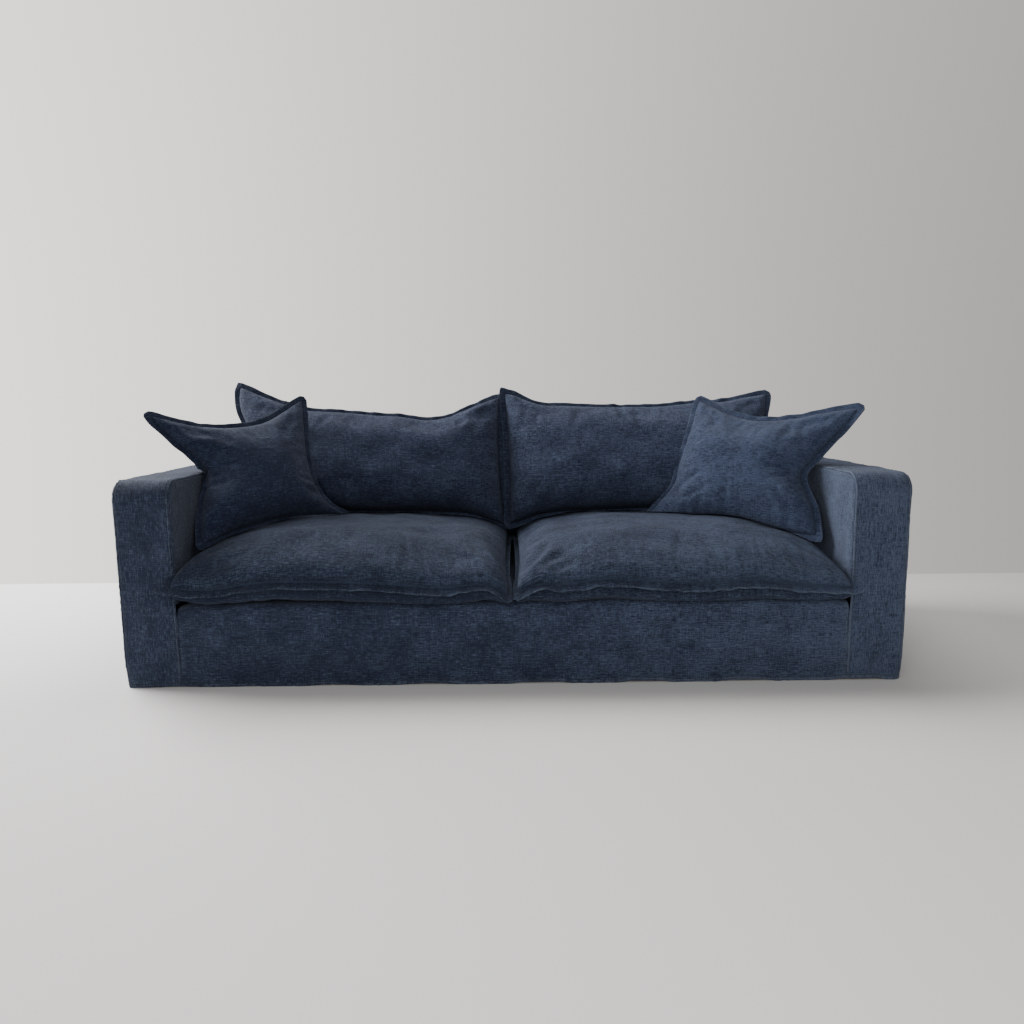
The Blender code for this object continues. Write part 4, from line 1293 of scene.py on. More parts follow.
    def build(self, finish: "WashedLinen") -> bpy.types.Object:
        """Models the cushion, blows it up, settles it and hands it to the frame."""
        pattern = self.pattern
        width, height = pattern.lengths()
        columns, rows = self.stations(width), self.stations(height)
        piece, column, row = self.new_slab(len(columns), len(rows))
        front = self.front_side(piece)
        face = np.where(front, 1.0, -1.0)
        across, upward = columns[column], rows[row]
        flat = self.flat_points(across, upward, face)
        flat[:, 2] += self.sewn_relief(across, upward, face)
        crease = sum(one.height(flat[:, 0], flat[:, 1]) for one in pattern.creases)
        write_attribute(piece, CREASE, np.where(front, crease, 0.0))
        points = np.array(pattern.centre) + flat @ pattern.axes()
        points[:, 1] += SIZES.front_y
        write_points(piece, self.settle(points))
        outside = np.maximum(np.abs(across - 0.5), np.abs(upward - 0.5)) - 0.5
        self.store_maps(piece, across, upward, face, flat)
        self.lay_weave(piece, column, row, front)
        deselect_all()
        piece.select_set(True)
        bpy.context.view_layer.objects.active = piece
        bpy.ops.object.mode_set(mode="EDIT")
        bpy.ops.mesh.select_all(action="SELECT")
        bpy.ops.mesh.normals_make_consistent(inside=False)
        bpy.ops.object.mode_set(mode="OBJECT")
        self.blow_up(piece, across, upward, outside)
        apply_modifier(piece, "SUBSURF", levels=1, render_levels=1, boundary_smooth="ALL")
        self.add_crumple(piece)
        write_points(piece, self.settle(read_points(piece)))
        shade(piece, math.radians(180))
        finish.dress(piece)
        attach(piece, BODY)
        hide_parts(pattern.name)
        return piece

    def new_slab(self, columns: int, rows: int) -> tuple[bpy.types.Object, Array, Array]:
        """A grid extruded to a closed slab, with each vertex's column and row number."""
        piece, _, _ = new_grid(self.pattern.name + "_cloth", columns, rows)
        bpy.ops.object.mode_set(mode="EDIT")
        bpy.ops.mesh.select_all(action="SELECT")
        bpy.ops.mesh.extrude_region_move(TRANSFORM_OT_translate={"value": (0.0, 0.0, 0.1)})
        bpy.ops.object.mode_set(mode="OBJECT")
        flat = read_points(piece)
        column = np.rint((flat[:, 0] + 0.5) * (columns - 1)).astype(int)
        row = np.rint((flat[:, 1] + 0.5) * (rows - 1)).astype(int)
        return piece, column, row

    @staticmethod
    def front_side(piece: bpy.types.Object) -> Array:
        """Which vertices of a new slab belong to its raised side."""
        return read_points(piece)[:, 2] > 0.05

    def settle(self, points: Array) -> Array:
        """Keeps the cushion off its neighbours, the cover and the cushion beside it."""
        settled = self.neighbours.clear_cover(self.neighbours.clear_cushions(points))
        side = self.pattern.own_side
        if side:
            settled[:, 0] = side * np.maximum(side * settled[:, 0], self.neighbours.clearance / 4)
        return settled

    def lay_weave(self, piece: bpy.types.Object, column: Array, row: Array, front: Array) -> None:
        """Stores each vertex's place on the flat cloth, measured along the surface."""
        order = np.empty((2, row.max() + 1, column.max() + 1), dtype=int)
        order[front.astype(int), row, column] = np.arange(len(row))
        points = read_points(piece)[order]
        places = []
        for axis in (2, 1):
            steps = np.linalg.norm(np.diff(points, axis=axis), axis=-1)
            start = np.zeros_like(np.take(steps, [0], axis=axis))
            place = np.cumsum(np.concatenate((start, steps), axis=axis), axis=axis)
            place -= np.take(place, [place.shape[axis] // 2], axis=axis)
            flat = np.empty(len(row))
            flat[order] = place
            places.append(flat)
        shift = 0.53 * self.pattern.seed
        write_weave_map(piece, places[0] + shift, places[1] + shift)

    def store_maps(self, piece: bpy.types.Object, across: Array, upward: Array, face: Array,
                   flat: Array) -> None:
        """Stores the wear with a painted highlight on the flange rim, the stitch line, and the painted
        shade towards the left and on the underside.
        """
        pattern = self.pattern
        width, height = pattern.lengths()
        off_u = np.where(across < 0.5, across, 1 - across)
        off_v = np.where(upward < 0.5, upward, 1 - upward)
        flange_u = np.where(off_u < 0, off_u * FLANGE.width, off_u * width)
        flange_v = np.where(off_v < 0, off_v * FLANGE.width, off_v * height)
        off = np.minimum(flange_u, flange_v)
        run = np.where(flange_u < flange_v, flat[:, 1], flat[:, 0])
        write_attribute(piece, STITCH, off)
        write_attribute(piece, STITCH_RUN, run)
        # Flange rim: rubbed wear, painted paler also as a painted highlight where the edge catches the
        # light.
        rim_wear_and_highlight = np.exp(-(((off + FLANGE.width) / 0.003) ** 2))
        beside = 0.25 * np.exp(-(((off - 0.010) / 0.010) ** 2))
        rubbed = 0.18 * np.exp(-(((off - 0.075) / 0.040) ** 2))
        write_attribute(piece, WEAR_AND_HIGHLIGHT, np.clip(rim_wear_and_highlight + beside + rubbed, 0, 1))
        # Painted shade: darker towards the left, and darker again on the underside.
        write_painted_side_shade(piece, pattern.painted_under_shade * (face < 0))

    def blow_up(self, piece: bpy.types.Object, across: Array, upward: Array, outside: Array) -> None:
        """Fills the cushion by a short cloth simulation, with its flange held."""
        pattern = self.pattern
        start = read_points(piece)
        width, height = pattern.lengths()
        off = np.minimum(
            np.minimum(across, 1 - across) * width, np.minimum(upward, 1 - upward) * height
        )
        held = np.where(outside > 0, 1.0, 1 - ease(0.006, 0.030, off))
        group = piece.vertex_groups.new(name="held")
        for number, weight in enumerate(held):
            if weight > 0:
                group.add([number], float(weight), "REPLACE")
        modifier = piece.modifiers.new("Cloth", "CLOTH")
        settings = modifier.settings
        settings.quality = 5
        settings.mass = 0.3
        settings.tension_stiffness = 20
        settings.compression_stiffness = 12
        settings.shear_stiffness = 8
        settings.bending_stiffness = 0.6
        settings.shrink_min = -pattern.slack
        settings.use_pressure = True
        settings.uniform_pressure_force = 3.0
        settings.vertex_group_mass = group.name
        settings.effector_weights.gravity = 0.0
        modifier.collision_settings.use_collision = False
        modifier.point_cache.frame_start = 1
        modifier.point_cache.frame_end = SIMULATED_FRAMES
        scene = bpy.context.scene
        for frame in range(1, SIMULATED_FRAMES + 1):
            scene.frame_set(frame)
        deselect_all()
        piece.select_set(True)
        bpy.context.view_layer.objects.active = piece
        bpy.ops.object.modifier_apply(modifier=modifier.name)
        scene.frame_set(1)
        moved = read_points(piece) - start
        length = np.linalg.norm(moved, axis=1, keepdims=True)
        soft_cap = pattern.cap * np.tanh(length / pattern.cap)
        write_points(piece, start + moved * soft_cap / np.maximum(length, 1e-9))
        piece.vertex_groups.clear()

    def add_crumple(self, piece: bpy.types.Object) -> None:
        """Adds the creases and the fine crumple of the cloth along the normals."""
        points = read_points(piece)
        normals = np.empty(len(points) * 3)
        piece.data.vertices.foreach_get("normal", normals)
        off = read_attribute(piece, STITCH)
        crumple = CUSHION_CRUMPLE.height(points, self.pattern.seed * 50)
        relief = crumple * ease(-0.004, 0.040, off) + read_attribute(piece, CREASE)
        write_points(piece, points + normals.reshape(-1, 3) * relief[:, None])


SIMULATED_FRAMES = 16
CUSHION_CRUMPLE = Crumple(slow=0.0018, slow_pitch=0.16, fine=0.00035, fine_pitch=0.045,
                          crease=0.0010, crease_pitch=0.13, crease_width=0.09)

PLAIN_EDGE = ((0.0, 0.0, 0.0, 0.0), (1.0, 0.0, 0.0, 0.0))

SEAT_LEFT = CushionPattern(
    name="seat_cushion_left",
    centre=(-0.515, 0.3785, 0.320),
    across=(1.0, 0.0, 0.0),
    up=(0.0, 1.0, 0.0),
    seam_corners=((-0.482, -0.406, -0.002), (0.490, -0.406, -0.028), (0.490, 0.408, 0.012),
                  (-0.482, 0.408, 0.012)),
    flange_tips=((-0.094, -0.0270, 0.000), (0.027, -0.0230, -0.022), (0.020, 0.022, 0.0),
                 (-0.018, 0.022, 0.0)),
    bottom=(
        (0.00, 0.000, 0.000, -0.015),
        (0.09, 0.000, -0.006, -0.015),
        (0.25, 0.000, 0.017, -0.013),
        (0.40, 0.000, 0.021, -0.013),
        (0.60, 0.000, 0.020, -0.013),
        (0.80, 0.000, 0.010, -0.015),
        (0.90, 0.000, 0.022, -0.011),
        (0.95, 0.000, 0.026, -0.007),
        (1.00, 0.000, 0.000, -0.019),
    ),
    right=((0.0, 0.0, 0.0, -0.004), (0.3, 0.006, 0.018, 0.0), (1.0, 0.0, 0.0, 0.0)),
    top=PLAIN_EDGE,
    left=((0.0, 0.0, 0.0, 0.012), (0.03, 0.0, 0.012, 0.020), (0.06, 0.0, 0.024, 0.022),
          (0.2, 0.0, 0.034, 0.020), (0.6, 0.004, 0.020, 0.010), (1.0, 0.0, 0.0, 0.0)),
    front_height=0.114,
    back_height=0.090,
    fullness=2.6,
    shoulder=3.2,
    back_shoulder=5.0,
    belly=0.010,
    right_belly=0.008,
    own_side=-1,
    painted_under_shade=0.80,
    seed=1,
    creases=(
        Crease((0.470, -0.372), (0.385, -0.255), 0.016, 0.0060, 0.010),
        Crease((0.440, -0.395), (0.330, -0.330), 0.013, 0.0045, -0.008),
        Crease((-0.455, -0.360), (-0.350, -0.270), 0.018, 0.0050, 0.012),
        Crease((-0.400, -0.390), (-0.300, -0.350), 0.012, 0.0035),
        Crease((-0.160, -0.330), (0.120, -0.270), 0.040, 0.0035, 0.020),
        Crease((0.180, -0.200), (0.400, -0.120), 0.035, 0.0040, -0.020),
        Crease((-0.380, -0.150), (-0.160, -0.210), 0.035, 0.0035, 0.020),
    ),
)

SEAT_RIGHT = CushionPattern(
    name="seat_cushion_right",
    centre=(0.515, 0.3785, 0.320),
    across=(1.0, 0.0, 0.0),
    up=(0.0, 1.0, 0.0),
    seam_corners=((-0.490, -0.406, -0.022), (0.482, -0.406, -0.020), (0.482, 0.408, 0.012),
                  (-0.490, 0.408, 0.012)),
    flange_tips=((-0.027, -0.0230, -0.020), (0.066, -0.0250, -0.004), (0.018, 0.022, 0.0),
                 (-0.020, 0.022, 0.0)),
    bottom=(
        (0.00, 0.000, 0.000, -0.017),
        (0.05, 0.000, 0.020, -0.009),
        (0.14, 0.000, 0.016, -0.013),
        (0.27, 0.000, 0.030, -0.013),
        (0.42, 0.000, 0.020, -0.015),
        (0.56, 0.000, 0.012, -0.015),
        (0.70, 0.000, 0.020, -0.013),
        (0.78, 0.000, 0.018, -0.015),
        (0.88, 0.000, 0.006, -0.015),
        (1.00, 0.000, 0.000, -0.013),
    ),
    right=((0.0, 0.0, 0.0, 0.006), (0.08, 0.0, 0.012, 0.018), (0.2, 0.0, 0.024, 0.018),
           (0.6, 0.004, 0.016, 0.010), (1.0, 0.0, 0.0, 0.0)),
    top=PLAIN_EDGE,
    left=((0.0, 0.0, 0.0, -0.004), (0.3, 0.006, 0.018, 0.0), (1.0, 0.0, 0.0, 0.0)),
    front_height=0.114,
    back_height=0.090,
    fullness=2.6,
    shoulder=3.2,
    back_shoulder=5.0,
    belly=0.010,
    left_belly=0.008,
    own_side=1,
    painted_under_shade=0.80,
    seed=2,
    creases=(
        Crease((-0.470, -0.370), (-0.400, -0.240), 0.015, 0.0065, -0.010),
        Crease((-0.440, -0.395), (-0.340, -0.320), 0.013, 0.0050, 0.008),
        Crease((-0.400, -0.398), (-0.310, -0.370), 0.010, 0.0035),
        Crease((0.455, -0.350), (0.350, -0.260), 0.018, 0.0050, -0.012),
        Crease((0.410, -0.390), (0.310, -0.350), 0.012, 0.0035),
        Crease((-0.120, -0.270), (0.160, -0.330), 0.040, 0.0035, -0.020),
        Crease((-0.380, -0.120), (-0.180, -0.200), 0.035, 0.0040, 0.020),
        Crease((0.160, -0.200), (0.380, -0.150), 0.035, 0.0035, 0.020),
    ),
)

BACK_LEFT = CushionPattern(
    name="back_cushion_left",
    centre=(-0.515, 0.7275, 0.654),
    across=(1.0, 0.0, 0.0),
    up=(0.0, 0.125, 0.352),
    seam_corners=((-0.470, -0.232, 0.0), (0.480, -0.262, 0.0), (0.457, 0.221, 0.0),
                  (-0.534, 0.262, 0.0)),
    flange_tips=((-0.022, -0.020, 0.0), (0.020, -0.022, -0.008), (0.031, 0.055, -0.010),
                 (-0.034, 0.058, 0.006)),
    bottom=((0.0, 0.0, 0.0, 0.0), (0.25, 0.032, 0.0, 0.0), (0.5, 0.036, 0.0, 0.0),
            (0.86, 0.034, 0.0, 0.0), (1.0, 0.0, 0.0, -0.006)),
    right=((0.0, 0.0, 0.0, -0.008), (0.5, 0.0, 0.0, -0.008), (1.0, 0.0, 0.0, -0.008)),
    top=(
        (0.00, 0.000, 0.0, 0.004),
        (0.14, 0.036, 0.0, 0.002),
        (0.25, 0.064, 0.0, 0.000),
        (0.39, 0.070, 0.0, 0.000),
        (0.53, 0.078, 0.0, 0.000),
        (0.62, 0.080, 0.0, 0.000),
        (0.73, 0.092, 0.0, 0.000),
        (0.80, 0.081, 0.0, 0.000),
        (0.88, 0.045, 0.0, 0.000),
        (0.96, 0.013, 0.0, -0.004),
        (1.00, 0.000, 0.0, -0.008),
    ),
    left=((0.0, 0.0, 0.0, 0.0), (0.5, 0.034, 0.0, 0.0), (0.7, 0.010, 0.0, 0.0),
          (0.86, -0.012, 0.0, 0.0), (1.0, 0.0, 0.0, 0.004)),
    front_height=0.130,
    back_height=0.085,
    fullness=4.2,
    shoulder=2.4,
    back_shoulder=2.8,
    belly=0.002,
    low_weight=0.45,
    ears=(0.30, 0.30, 0.32, 0.50),
    seed=3,
    creases=(
        Crease((-0.510, 0.225), (-0.380, 0.110), 0.022, 0.0060, 0.012),
        Crease((-0.450, 0.200), (-0.330, 0.140), 0.014, 0.0040),
        Crease((0.450, 0.190), (0.360, 0.060), 0.020, 0.0065, -0.012),
        Crease((0.410, 0.170), (0.300, 0.090), 0.014, 0.0045),
        Crease((0.455, -0.220), (0.360, -0.130), 0.018, 0.0045, 0.010),
        Crease((0.130, 0.120), (0.270, 0.070), 0.028, 0.0035, 0.012),
        Crease((-0.200, -0.150), (0.060, -0.120), 0.030, 0.0030, -0.015),
    ),
    top_ripple=0.001,
)

BACK_RIGHT = CushionPattern(
    name="back_cushion_right",
    centre=(0.515, 0.7275, 0.654),
    across=(1.0, 0.0, 0.0),
    up=(0.0, 0.125, 0.352),
    seam_corners=((-0.518, -0.262, 0.0), (0.470, -0.232, 0.0), (0.470, 0.226, 0.0),
                  (-0.529, 0.240, 0.0)),
    flange_tips=((-0.020, -0.022, 0.010), (0.020, -0.020, 0.0), (0.042, 0.029, -0.004),
                 (-0.029, 0.044, 0.012)),
    bottom=((0.0, 0.0, 0.0, 0.006), (0.14, 0.032, 0.0, 0.0), (0.5, 0.036, 0.0, 0.0),
            (0.75, 0.032, 0.0, 0.0), (1.0, 0.0, 0.0, 0.0)),
    right=((0.0, 0.0, 0.0, 0.0), (0.5, 0.010, 0.0, 0.0), (0.85, 0.004, 0.0, 0.0),
           (1.0, 0.0, 0.0, 0.0)),
    top=(
        (0.00, 0.000, 0.0, 0.008),
        (0.04, 0.009, 0.0, 0.006),
        (0.11, 0.038, 0.0, 0.002),
        (0.21, 0.043, 0.0, 0.000),
        (0.40, 0.049, 0.0, 0.000),
        (0.57, 0.048, 0.0, 0.000),
        (0.68, 0.037, 0.0, 0.002),
        (0.75, 0.030, 0.0, 0.000),
        (0.83, 0.026, 0.0, -0.002),
        (0.91, 0.014, 0.0, 0.000),
        (1.00, 0.000, 0.0, 0.000),
    ),
    left=((0.0, 0.0, 0.0, 0.008), (0.5, 0.0, 0.0, 0.008), (1.0, 0.0, 0.0, 0.008)),
    front_height=0.130,
    back_height=0.085,
    fullness=4.2,
    shoulder=2.4,
    back_shoulder=2.8,
    belly=0.002,
    low_weight=0.45,
    ears=(0.30, 0.30, 0.50, 0.32),
    seed=4,
    creases=(
        Crease((-0.505, 0.205), (-0.410, 0.080), 0.020, 0.0060, 0.012),
        Crease((-0.470, 0.190), (-0.370, 0.130), 0.014, 0.0040),
        Crease((-0.500, -0.220), (-0.400, -0.120), 0.018, 0.0045, -0.010),
        Crease((0.455, 0.205), (0.340, 0.110), 0.020, 0.0055, -0.012),
        Crease((0.455, 0.120), (0.370, 0.090), 0.012, 0.0040),
        Crease((-0.100, 0.130), (0.120, 0.110), 0.028, 0.0030, 0.012),
        Crease((-0.060, -0.140), (0.200, -0.120), 0.030, 0.0030, 0.015),
    ),
    top_ripple=0.001,
)

SCATTER_LEFT = CushionPattern(
    name="scatter_cushion_left",
    centre=(-0.891, 0.390, 0.647),
    across=(0.742, 0.665, 0.089),
    up=(-0.379, 0.306, 0.873),
    seam_corners=((-0.238, -0.215, 0.0), (0.235, -0.212, 0.0), (0.236, 0.200, 0.0),
                  (-0.238, 0.205, 0.0)),
    flange_tips=((-0.038, -0.034, 0.0), (0.062, -0.046, 0.0), (0.047, 0.053, 0.0),
                 (-0.061, 0.048, 0.0)),
    bottom=((0.0, 0.0, 0.0, 0.0), (0.25, 0.010, 0.0, 0.0), (0.55, 0.016, 0.0, 0.0),
            (1.0, 0.0, 0.0, 0.0)),
    right=((0.0, 0.0, 0.0, 0.0), (0.12, 0.046, 0.0, 0.0), (0.3, 0.052, 0.0, 0.0),
           (0.5, 0.040, 0.0, 0.0), (0.75, 0.016, 0.0, 0.0), (1.0, 0.0, 0.0, 0.0)),
    top=((0.0, 0.0, 0.0, 0.0), (0.2, 0.034, 0.0, 0.0), (0.45, 0.048, 0.0, 0.0),
         (0.65, 0.045, 0.0, 0.0), (0.85, 0.020, 0.0, 0.0), (1.0, 0.0, 0.0, 0.0)),
    left=((0.0, 0.0, 0.0, 0.0), (0.25, 0.022, 0.0, 0.0), (0.45, 0.062, 0.0, 0.0),
          (0.6, 0.070, 0.0, 0.0), (0.8, 0.028, 0.0, 0.0), (1.0, 0.0, 0.0, 0.0)),
    front_height=0.086,
    back_height=0.070,
    fullness=2.5,
    shoulder=1.9,
    back_shoulder=2.2,
    belly=0.002,
    low_weight=0.30,
    ears=(0.45, 0.55, 0.62, 0.66),
    seed=5,
    spacing=0.010,
    slack=0.015,
    creases=(
        Crease((-0.185, 0.012), (-0.085, -0.004), 0.008, 0.0050, 0.004),
        Crease((-0.190, 0.048), (-0.105, 0.058), 0.009, 0.0040),
        Crease((-0.195, -0.045), (-0.120, -0.060), 0.009, 0.0035),
        Crease((-0.215, 0.180), (-0.080, 0.070), 0.018, 0.0055, 0.008),
        Crease((0.210, 0.170), (0.110, 0.070), 0.016, 0.0050, -0.008),
        Crease((0.185, -0.110), (0.105, -0.085), 0.009, 0.0045),
        Crease((0.190, -0.155), (0.120, -0.120), 0.011, 0.0045, 0.004),
        Crease((-0.205, -0.180), (-0.100, -0.100), 0.016, 0.0045, -0.008),
    ),
)

SCATTER_RIGHT = CushionPattern(
    name="scatter_cushion_right",
    centre=(0.842, 0.400, 0.647),
    across=(0.783, -0.620, -0.051),
    up=(0.319, 0.329, 0.889),
    seam_corners=((-0.275, -0.210, 0.0), (0.250, -0.215, 0.0), (0.262, 0.190, 0.0),
                  (-0.236, 0.200, 0.0)),
    flange_tips=((-0.084, -0.046, 0.0), (0.042, -0.040, 0.0), (0.058, 0.046, 0.0),
                 (-0.045, 0.038, 0.0)),
    bottom=((0.0, 0.0, 0.0, 0.0), (0.2, -0.018, 0.0, 0.0), (0.5, -0.002, 0.0, 0.0),
            (0.8, -0.014, 0.0, 0.0), (1.0, 0.0, 0.0, 0.0)),
    right=((0.0, 0.0, 0.0, 0.0), (0.2, 0.026, 0.0, 0.0), (0.45, 0.084, 0.0, 0.0),
           (0.60, 0.058, 0.0, 0.0), (0.8, 0.022, 0.0, 0.0), (1.0, 0.0, 0.0, 0.0)),
    top=((0.0, 0.0, 0.0, 0.0), (0.2, 0.028, 0.0, 0.0), (0.45, 0.044, 0.0, 0.0),
         (0.7, 0.024, 0.0, 0.0), (0.85, 0.006, 0.0, 0.0), (1.0, 0.0, 0.0, 0.0)),
    left=((0.0, 0.0, 0.0, 0.0), (0.2, 0.015, 0.0, 0.0), (0.4, -0.005, 0.0, 0.0),
          (0.7, -0.012, 0.0, 0.0), (1.0, 0.0, 0.0, 0.0)),
    front_height=0.086,
    back_height=0.070,
    fullness=2.5,
    shoulder=1.9,
    back_shoulder=2.2,
    belly=0.002,
    low_weight=0.30,
    ears=(0.62, 0.40, 0.66, 0.60),
    seed=6,
    spacing=0.010,
    slack=0.015,
    creases=(
        Crease((0.172, -0.010), (0.070, 0.018), 0.008, 0.0055, 0.004),
        Crease((0.170, -0.026), (0.080, -0.030), 0.007, 0.0045),
        Crease((0.176, -0.046), (0.100, -0.078), 0.009, 0.0045, -0.004),
        Crease((0.190, 0.040), (0.110, 0.066), 0.010, 0.0040),
        Crease((0.235, 0.165), (0.090, 0.070), 0.018, 0.0060, -0.008),
        Crease((-0.225, 0.175), (-0.120, 0.080), 0.016, 0.0050, 0.008),
        Crease((-0.235, -0.150), (-0.140, -0.085), 0.012, 0.0055, 0.006),
        Crease((-0.210, -0.185), (-0.110, -0.140), 0.011, 0.0045),
        Crease((0.215, -0.180), (0.120, -0.110), 0.012, 0.0055, 0.006),
    ),
)


class Nodes:
    """Writes a material's node graph as expressions."""

    def __init__(self, tree: bpy.types.NodeTree) -> None:
        """Starts on an empty or new tree."""
        self.tree = tree

    def add(self, kind: str, **settings: object) -> bpy.types.Node:
        """Adds a node with its settings."""
        node = self.tree.nodes.new(kind)
        for setting, value in settings.items():
            setattr(node, setting, value)
        return node

    def join(self, value: object, socket: bpy.types.NodeSocket) -> None:
        """Links a socket to another, or sets it to a number or colour."""
        if isinstance(value, bpy.types.NodeSocket):
            self.tree.links.new(value, socket)
        else:
            socket.default_value = value

    def math(self, operation: str, *values: object, clamp: bool = False) -> bpy.types.NodeSocket:
        """Result of a Math node."""
        node = self.add("ShaderNodeMath", operation=operation, use_clamp=clamp)
        for value, socket in zip(values, node.inputs):
            self.join(value, socket)
        return node.outputs[0]

    def remap(self, value: object, low: float, high: float, to_low: float = 0.0,
              to_high: float = 1.0) -> bpy.types.NodeSocket:
        """Smoothly maps low..high to to_low..to_high."""
        node = self.add("ShaderNodeMapRange", interpolation_type="SMOOTHSTEP")
        for place, item in enumerate((value, low, high, to_low, to_high)):
            self.join(item, node.inputs[place])
        return node.outputs[0]

    def mix(self, factor: object, first: object, second: object,
            blend: str = "MIX") -> bpy.types.NodeSocket:
        """Mixes two colours."""
        node = self.add("ShaderNodeMix", data_type="RGBA", blend_type=blend)
        self.join(factor, node.inputs[0])
        for value, socket in ((first, node.inputs[6]), (second, node.inputs[7])):
            self.join((*value, 1.0) if isinstance(value, tuple) else value, socket)
        return node.outputs[2]

    def stretched(self, vector: object, scale: tuple[float, float]) -> bpy.types.NodeSocket:
        """Scales a cloth place by its own amount each way."""
        node = self.add("ShaderNodeMapping")
        self.join(vector, node.inputs["Vector"])
        node.inputs["Scale"].default_value = (scale[0], scale[1], 1.0)
        return node.outputs[0]

    def noise(self, vector: object, scale: float, detail: float = 2.0,
              roughness: float = 0.5) -> bpy.types.NodeSocket:
        """Height of a noise texture."""
        node = self.add("ShaderNodeTexNoise", noise_dimensions="2D")
        self.join(vector, node.inputs["Vector"])
        node.inputs["Scale"].default_value = scale
        node.inputs["Detail"].default_value = detail
        node.inputs["Roughness"].default_value = roughness
        return node.outputs["Fac"]


Colour = tuple[float, float, float]


@dataclass(frozen=True)
class Slub:
    """One run of uneven threads: its thread length and width in metres, and how it shows."""

    length: float
    width: float
    weight: float


@dataclass(frozen=True)
class WashedLinen:
    """Washed heavy linen in heathered denim blue: slubbed threads both ways and rubbed folds, with
    painted shade along seams, over flanges and towards the left, and a painted highlight on cushion
    flange rims.
    """

    name: str
    slot: str
    deep: Colour
    pale: Colour
    # Colour of rubbed wear, also the painted highlight on cushion flange rims.
    wear_and_highlight: Colour
    sheen: float = 0.12
    roughness: float = 0.90
    weft: tuple[Slub, ...] = (Slub(0.018, 0.0018, 1.20), Slub(0.080, 0.0026, 0.75))
    warp: tuple[Slub, ...] = (Slub(0.014, 0.0018, 0.75), Slub(0.060, 0.0026, 0.50))
    mottle: tuple[Slub, ...] = (Slub(0.110, 0.090, 0.40), Slub(0.012, 0.008, 0.30))
    # How strongly the painted shade of the side attribute darkens the colour.
    painted_side_shade: float = 0.20
    # How dark the painted shade over folded allowances and flanges is; 1 leaves them unshaded.
    painted_fold_shade: float = 0.90
    thread_pitch: float = 0.0022
    thread: Colour = (0.030, 0.045, 0.080)

    def dress(self, piece: bpy.types.Object) -> None:
        """Gives a piece this finish."""
        material = bpy.data.materials.get(self.name) or self.build()
        piece.data.materials.clear()
        piece.data.materials.append(material)

    def build(self) -> bpy.types.Material:
        """Writes the finish's material."""
        material = bpy.data.materials.new(self.name)
        material.use_nodes = True
        graph = Nodes(material.node_tree)
        shader = material.node_tree.nodes["Principled BSDF"]
        place = graph.add("ShaderNodeUVMap", uv_map=WEAVE_MAP).outputs[0]
        weft = self.threads(graph, place, self.weft)
        warp = self.threads(graph, place, tuple(Slub(s.width, s.length, s.weight) for s in self.warp))
        mottle = self.threads(graph, place, self.mottle)
        slub = graph.math("ADD", weft, warp)
        # Painted shade: the colour goes darker where the side attribute is low, towards the left and on
        # the seats' undersides.
        side = graph.add("ShaderNodeAttribute", attribute_name=PAINTED_SIDE_SHADE).outputs["Fac"]
        base = graph.math("MULTIPLY_ADD", side, self.painted_side_shade, 0.5)
        tone = graph.math("ADD", graph.math("ADD", slub, mottle), base)
        colour = graph.mix(graph.remap(tone, 0.15, 1.10), self.deep, self.pale)
        off = graph.add("ShaderNodeAttribute", attribute_name=STITCH).outputs["Fac"]
        # Painted shade: darker along stitch lines and seams, and over the folded allowances and flanges
        # beyond them.
        groove = graph.remap(graph.math("ABSOLUTE", off), 0.0, 0.0035, 0.70, 1.0)
        fold_shade_factor = graph.remap(off, -0.004, 0.0, self.painted_fold_shade, 1.0)
        colour = graph.mix(1.0, colour, graph.math("MULTIPLY", groove, fold_shade_factor), "MULTIPLY")
        # Paler colour of wear, which on cushion flange rims is also a painted highlight.
        wear_and_highlight = graph.add("ShaderNodeAttribute", attribute_name=WEAR_AND_HIGHLIGHT).outputs["Fac"]
        patchy = graph.math("MULTIPLY", wear_and_highlight, graph.remap(tone, 0.30, 0.65, 0.05, 0.45))
        colour = graph.mix(patchy, colour, self.wear_and_highlight)
        stitch = self.stitches(graph)
        colour = graph.mix(graph.math("MULTIPLY", stitch, 0.6), colour, self.thread)
        graph.join(colour, shader.inputs["Base Color"])
        height = graph.math("ADD", graph.math("MULTIPLY", self.weave(graph, place), 0.25), slub)
        height = graph.math("ADD", height, graph.math("MULTIPLY", stitch, 0.5))
        bump = graph.add("ShaderNodeBump")
        bump.inputs["Strength"].default_value = 0.8
        bump.inputs["Distance"].default_value = 0.0012
        graph.join(height, bump.inputs["Height"])
        graph.join(bump.outputs[0], shader.inputs["Normal"])
        shader.inputs["Roughness"].default_value = self.roughness
        shader.inputs["Sheen Weight"].default_value = self.sheen
        shader.inputs["Sheen Roughness"].default_value = 0.5
        shader.inputs["Sheen Tint"].default_value = (0.80, 0.86, 0.92, 1.0)
        shader.inputs["Specular IOR Level"].default_value = 0.20
        return material

    @staticmethod
    def threads(graph: Nodes, place: bpy.types.NodeSocket,
                slubs: tuple[Slub, ...]) -> bpy.types.NodeSocket:
        """Sum of uneven thread runs, about 0 in the mean."""
        total = None
        for slub in slubs:
            stretched = graph.stretched(place, (1 / slub.length, 1 / slub.width))
            run = graph.math("SUBTRACT", graph.noise(stretched, 1.0, 2.0, 0.6), 0.5)
            run = graph.math("MULTIPLY", run, slub.weight)
            total = run if total is None else graph.math("ADD", total, run)
        return total

    def weave(self, graph: Nodes, place: bpy.types.NodeSocket) -> bpy.types.NodeSocket:
        """Plain weave: threads that go over and under each other."""
        scale = 2 * math.pi / self.thread_pitch
        parts = graph.add("ShaderNodeSeparateXYZ")
        graph.join(place, parts.inputs[0])
        across = graph.math("SINE", graph.math("MULTIPLY", parts.outputs[0], scale))
        along = graph.math("SINE", graph.math("MULTIPLY", parts.outputs[1], scale))
        return graph.math("MULTIPLY", across, along)

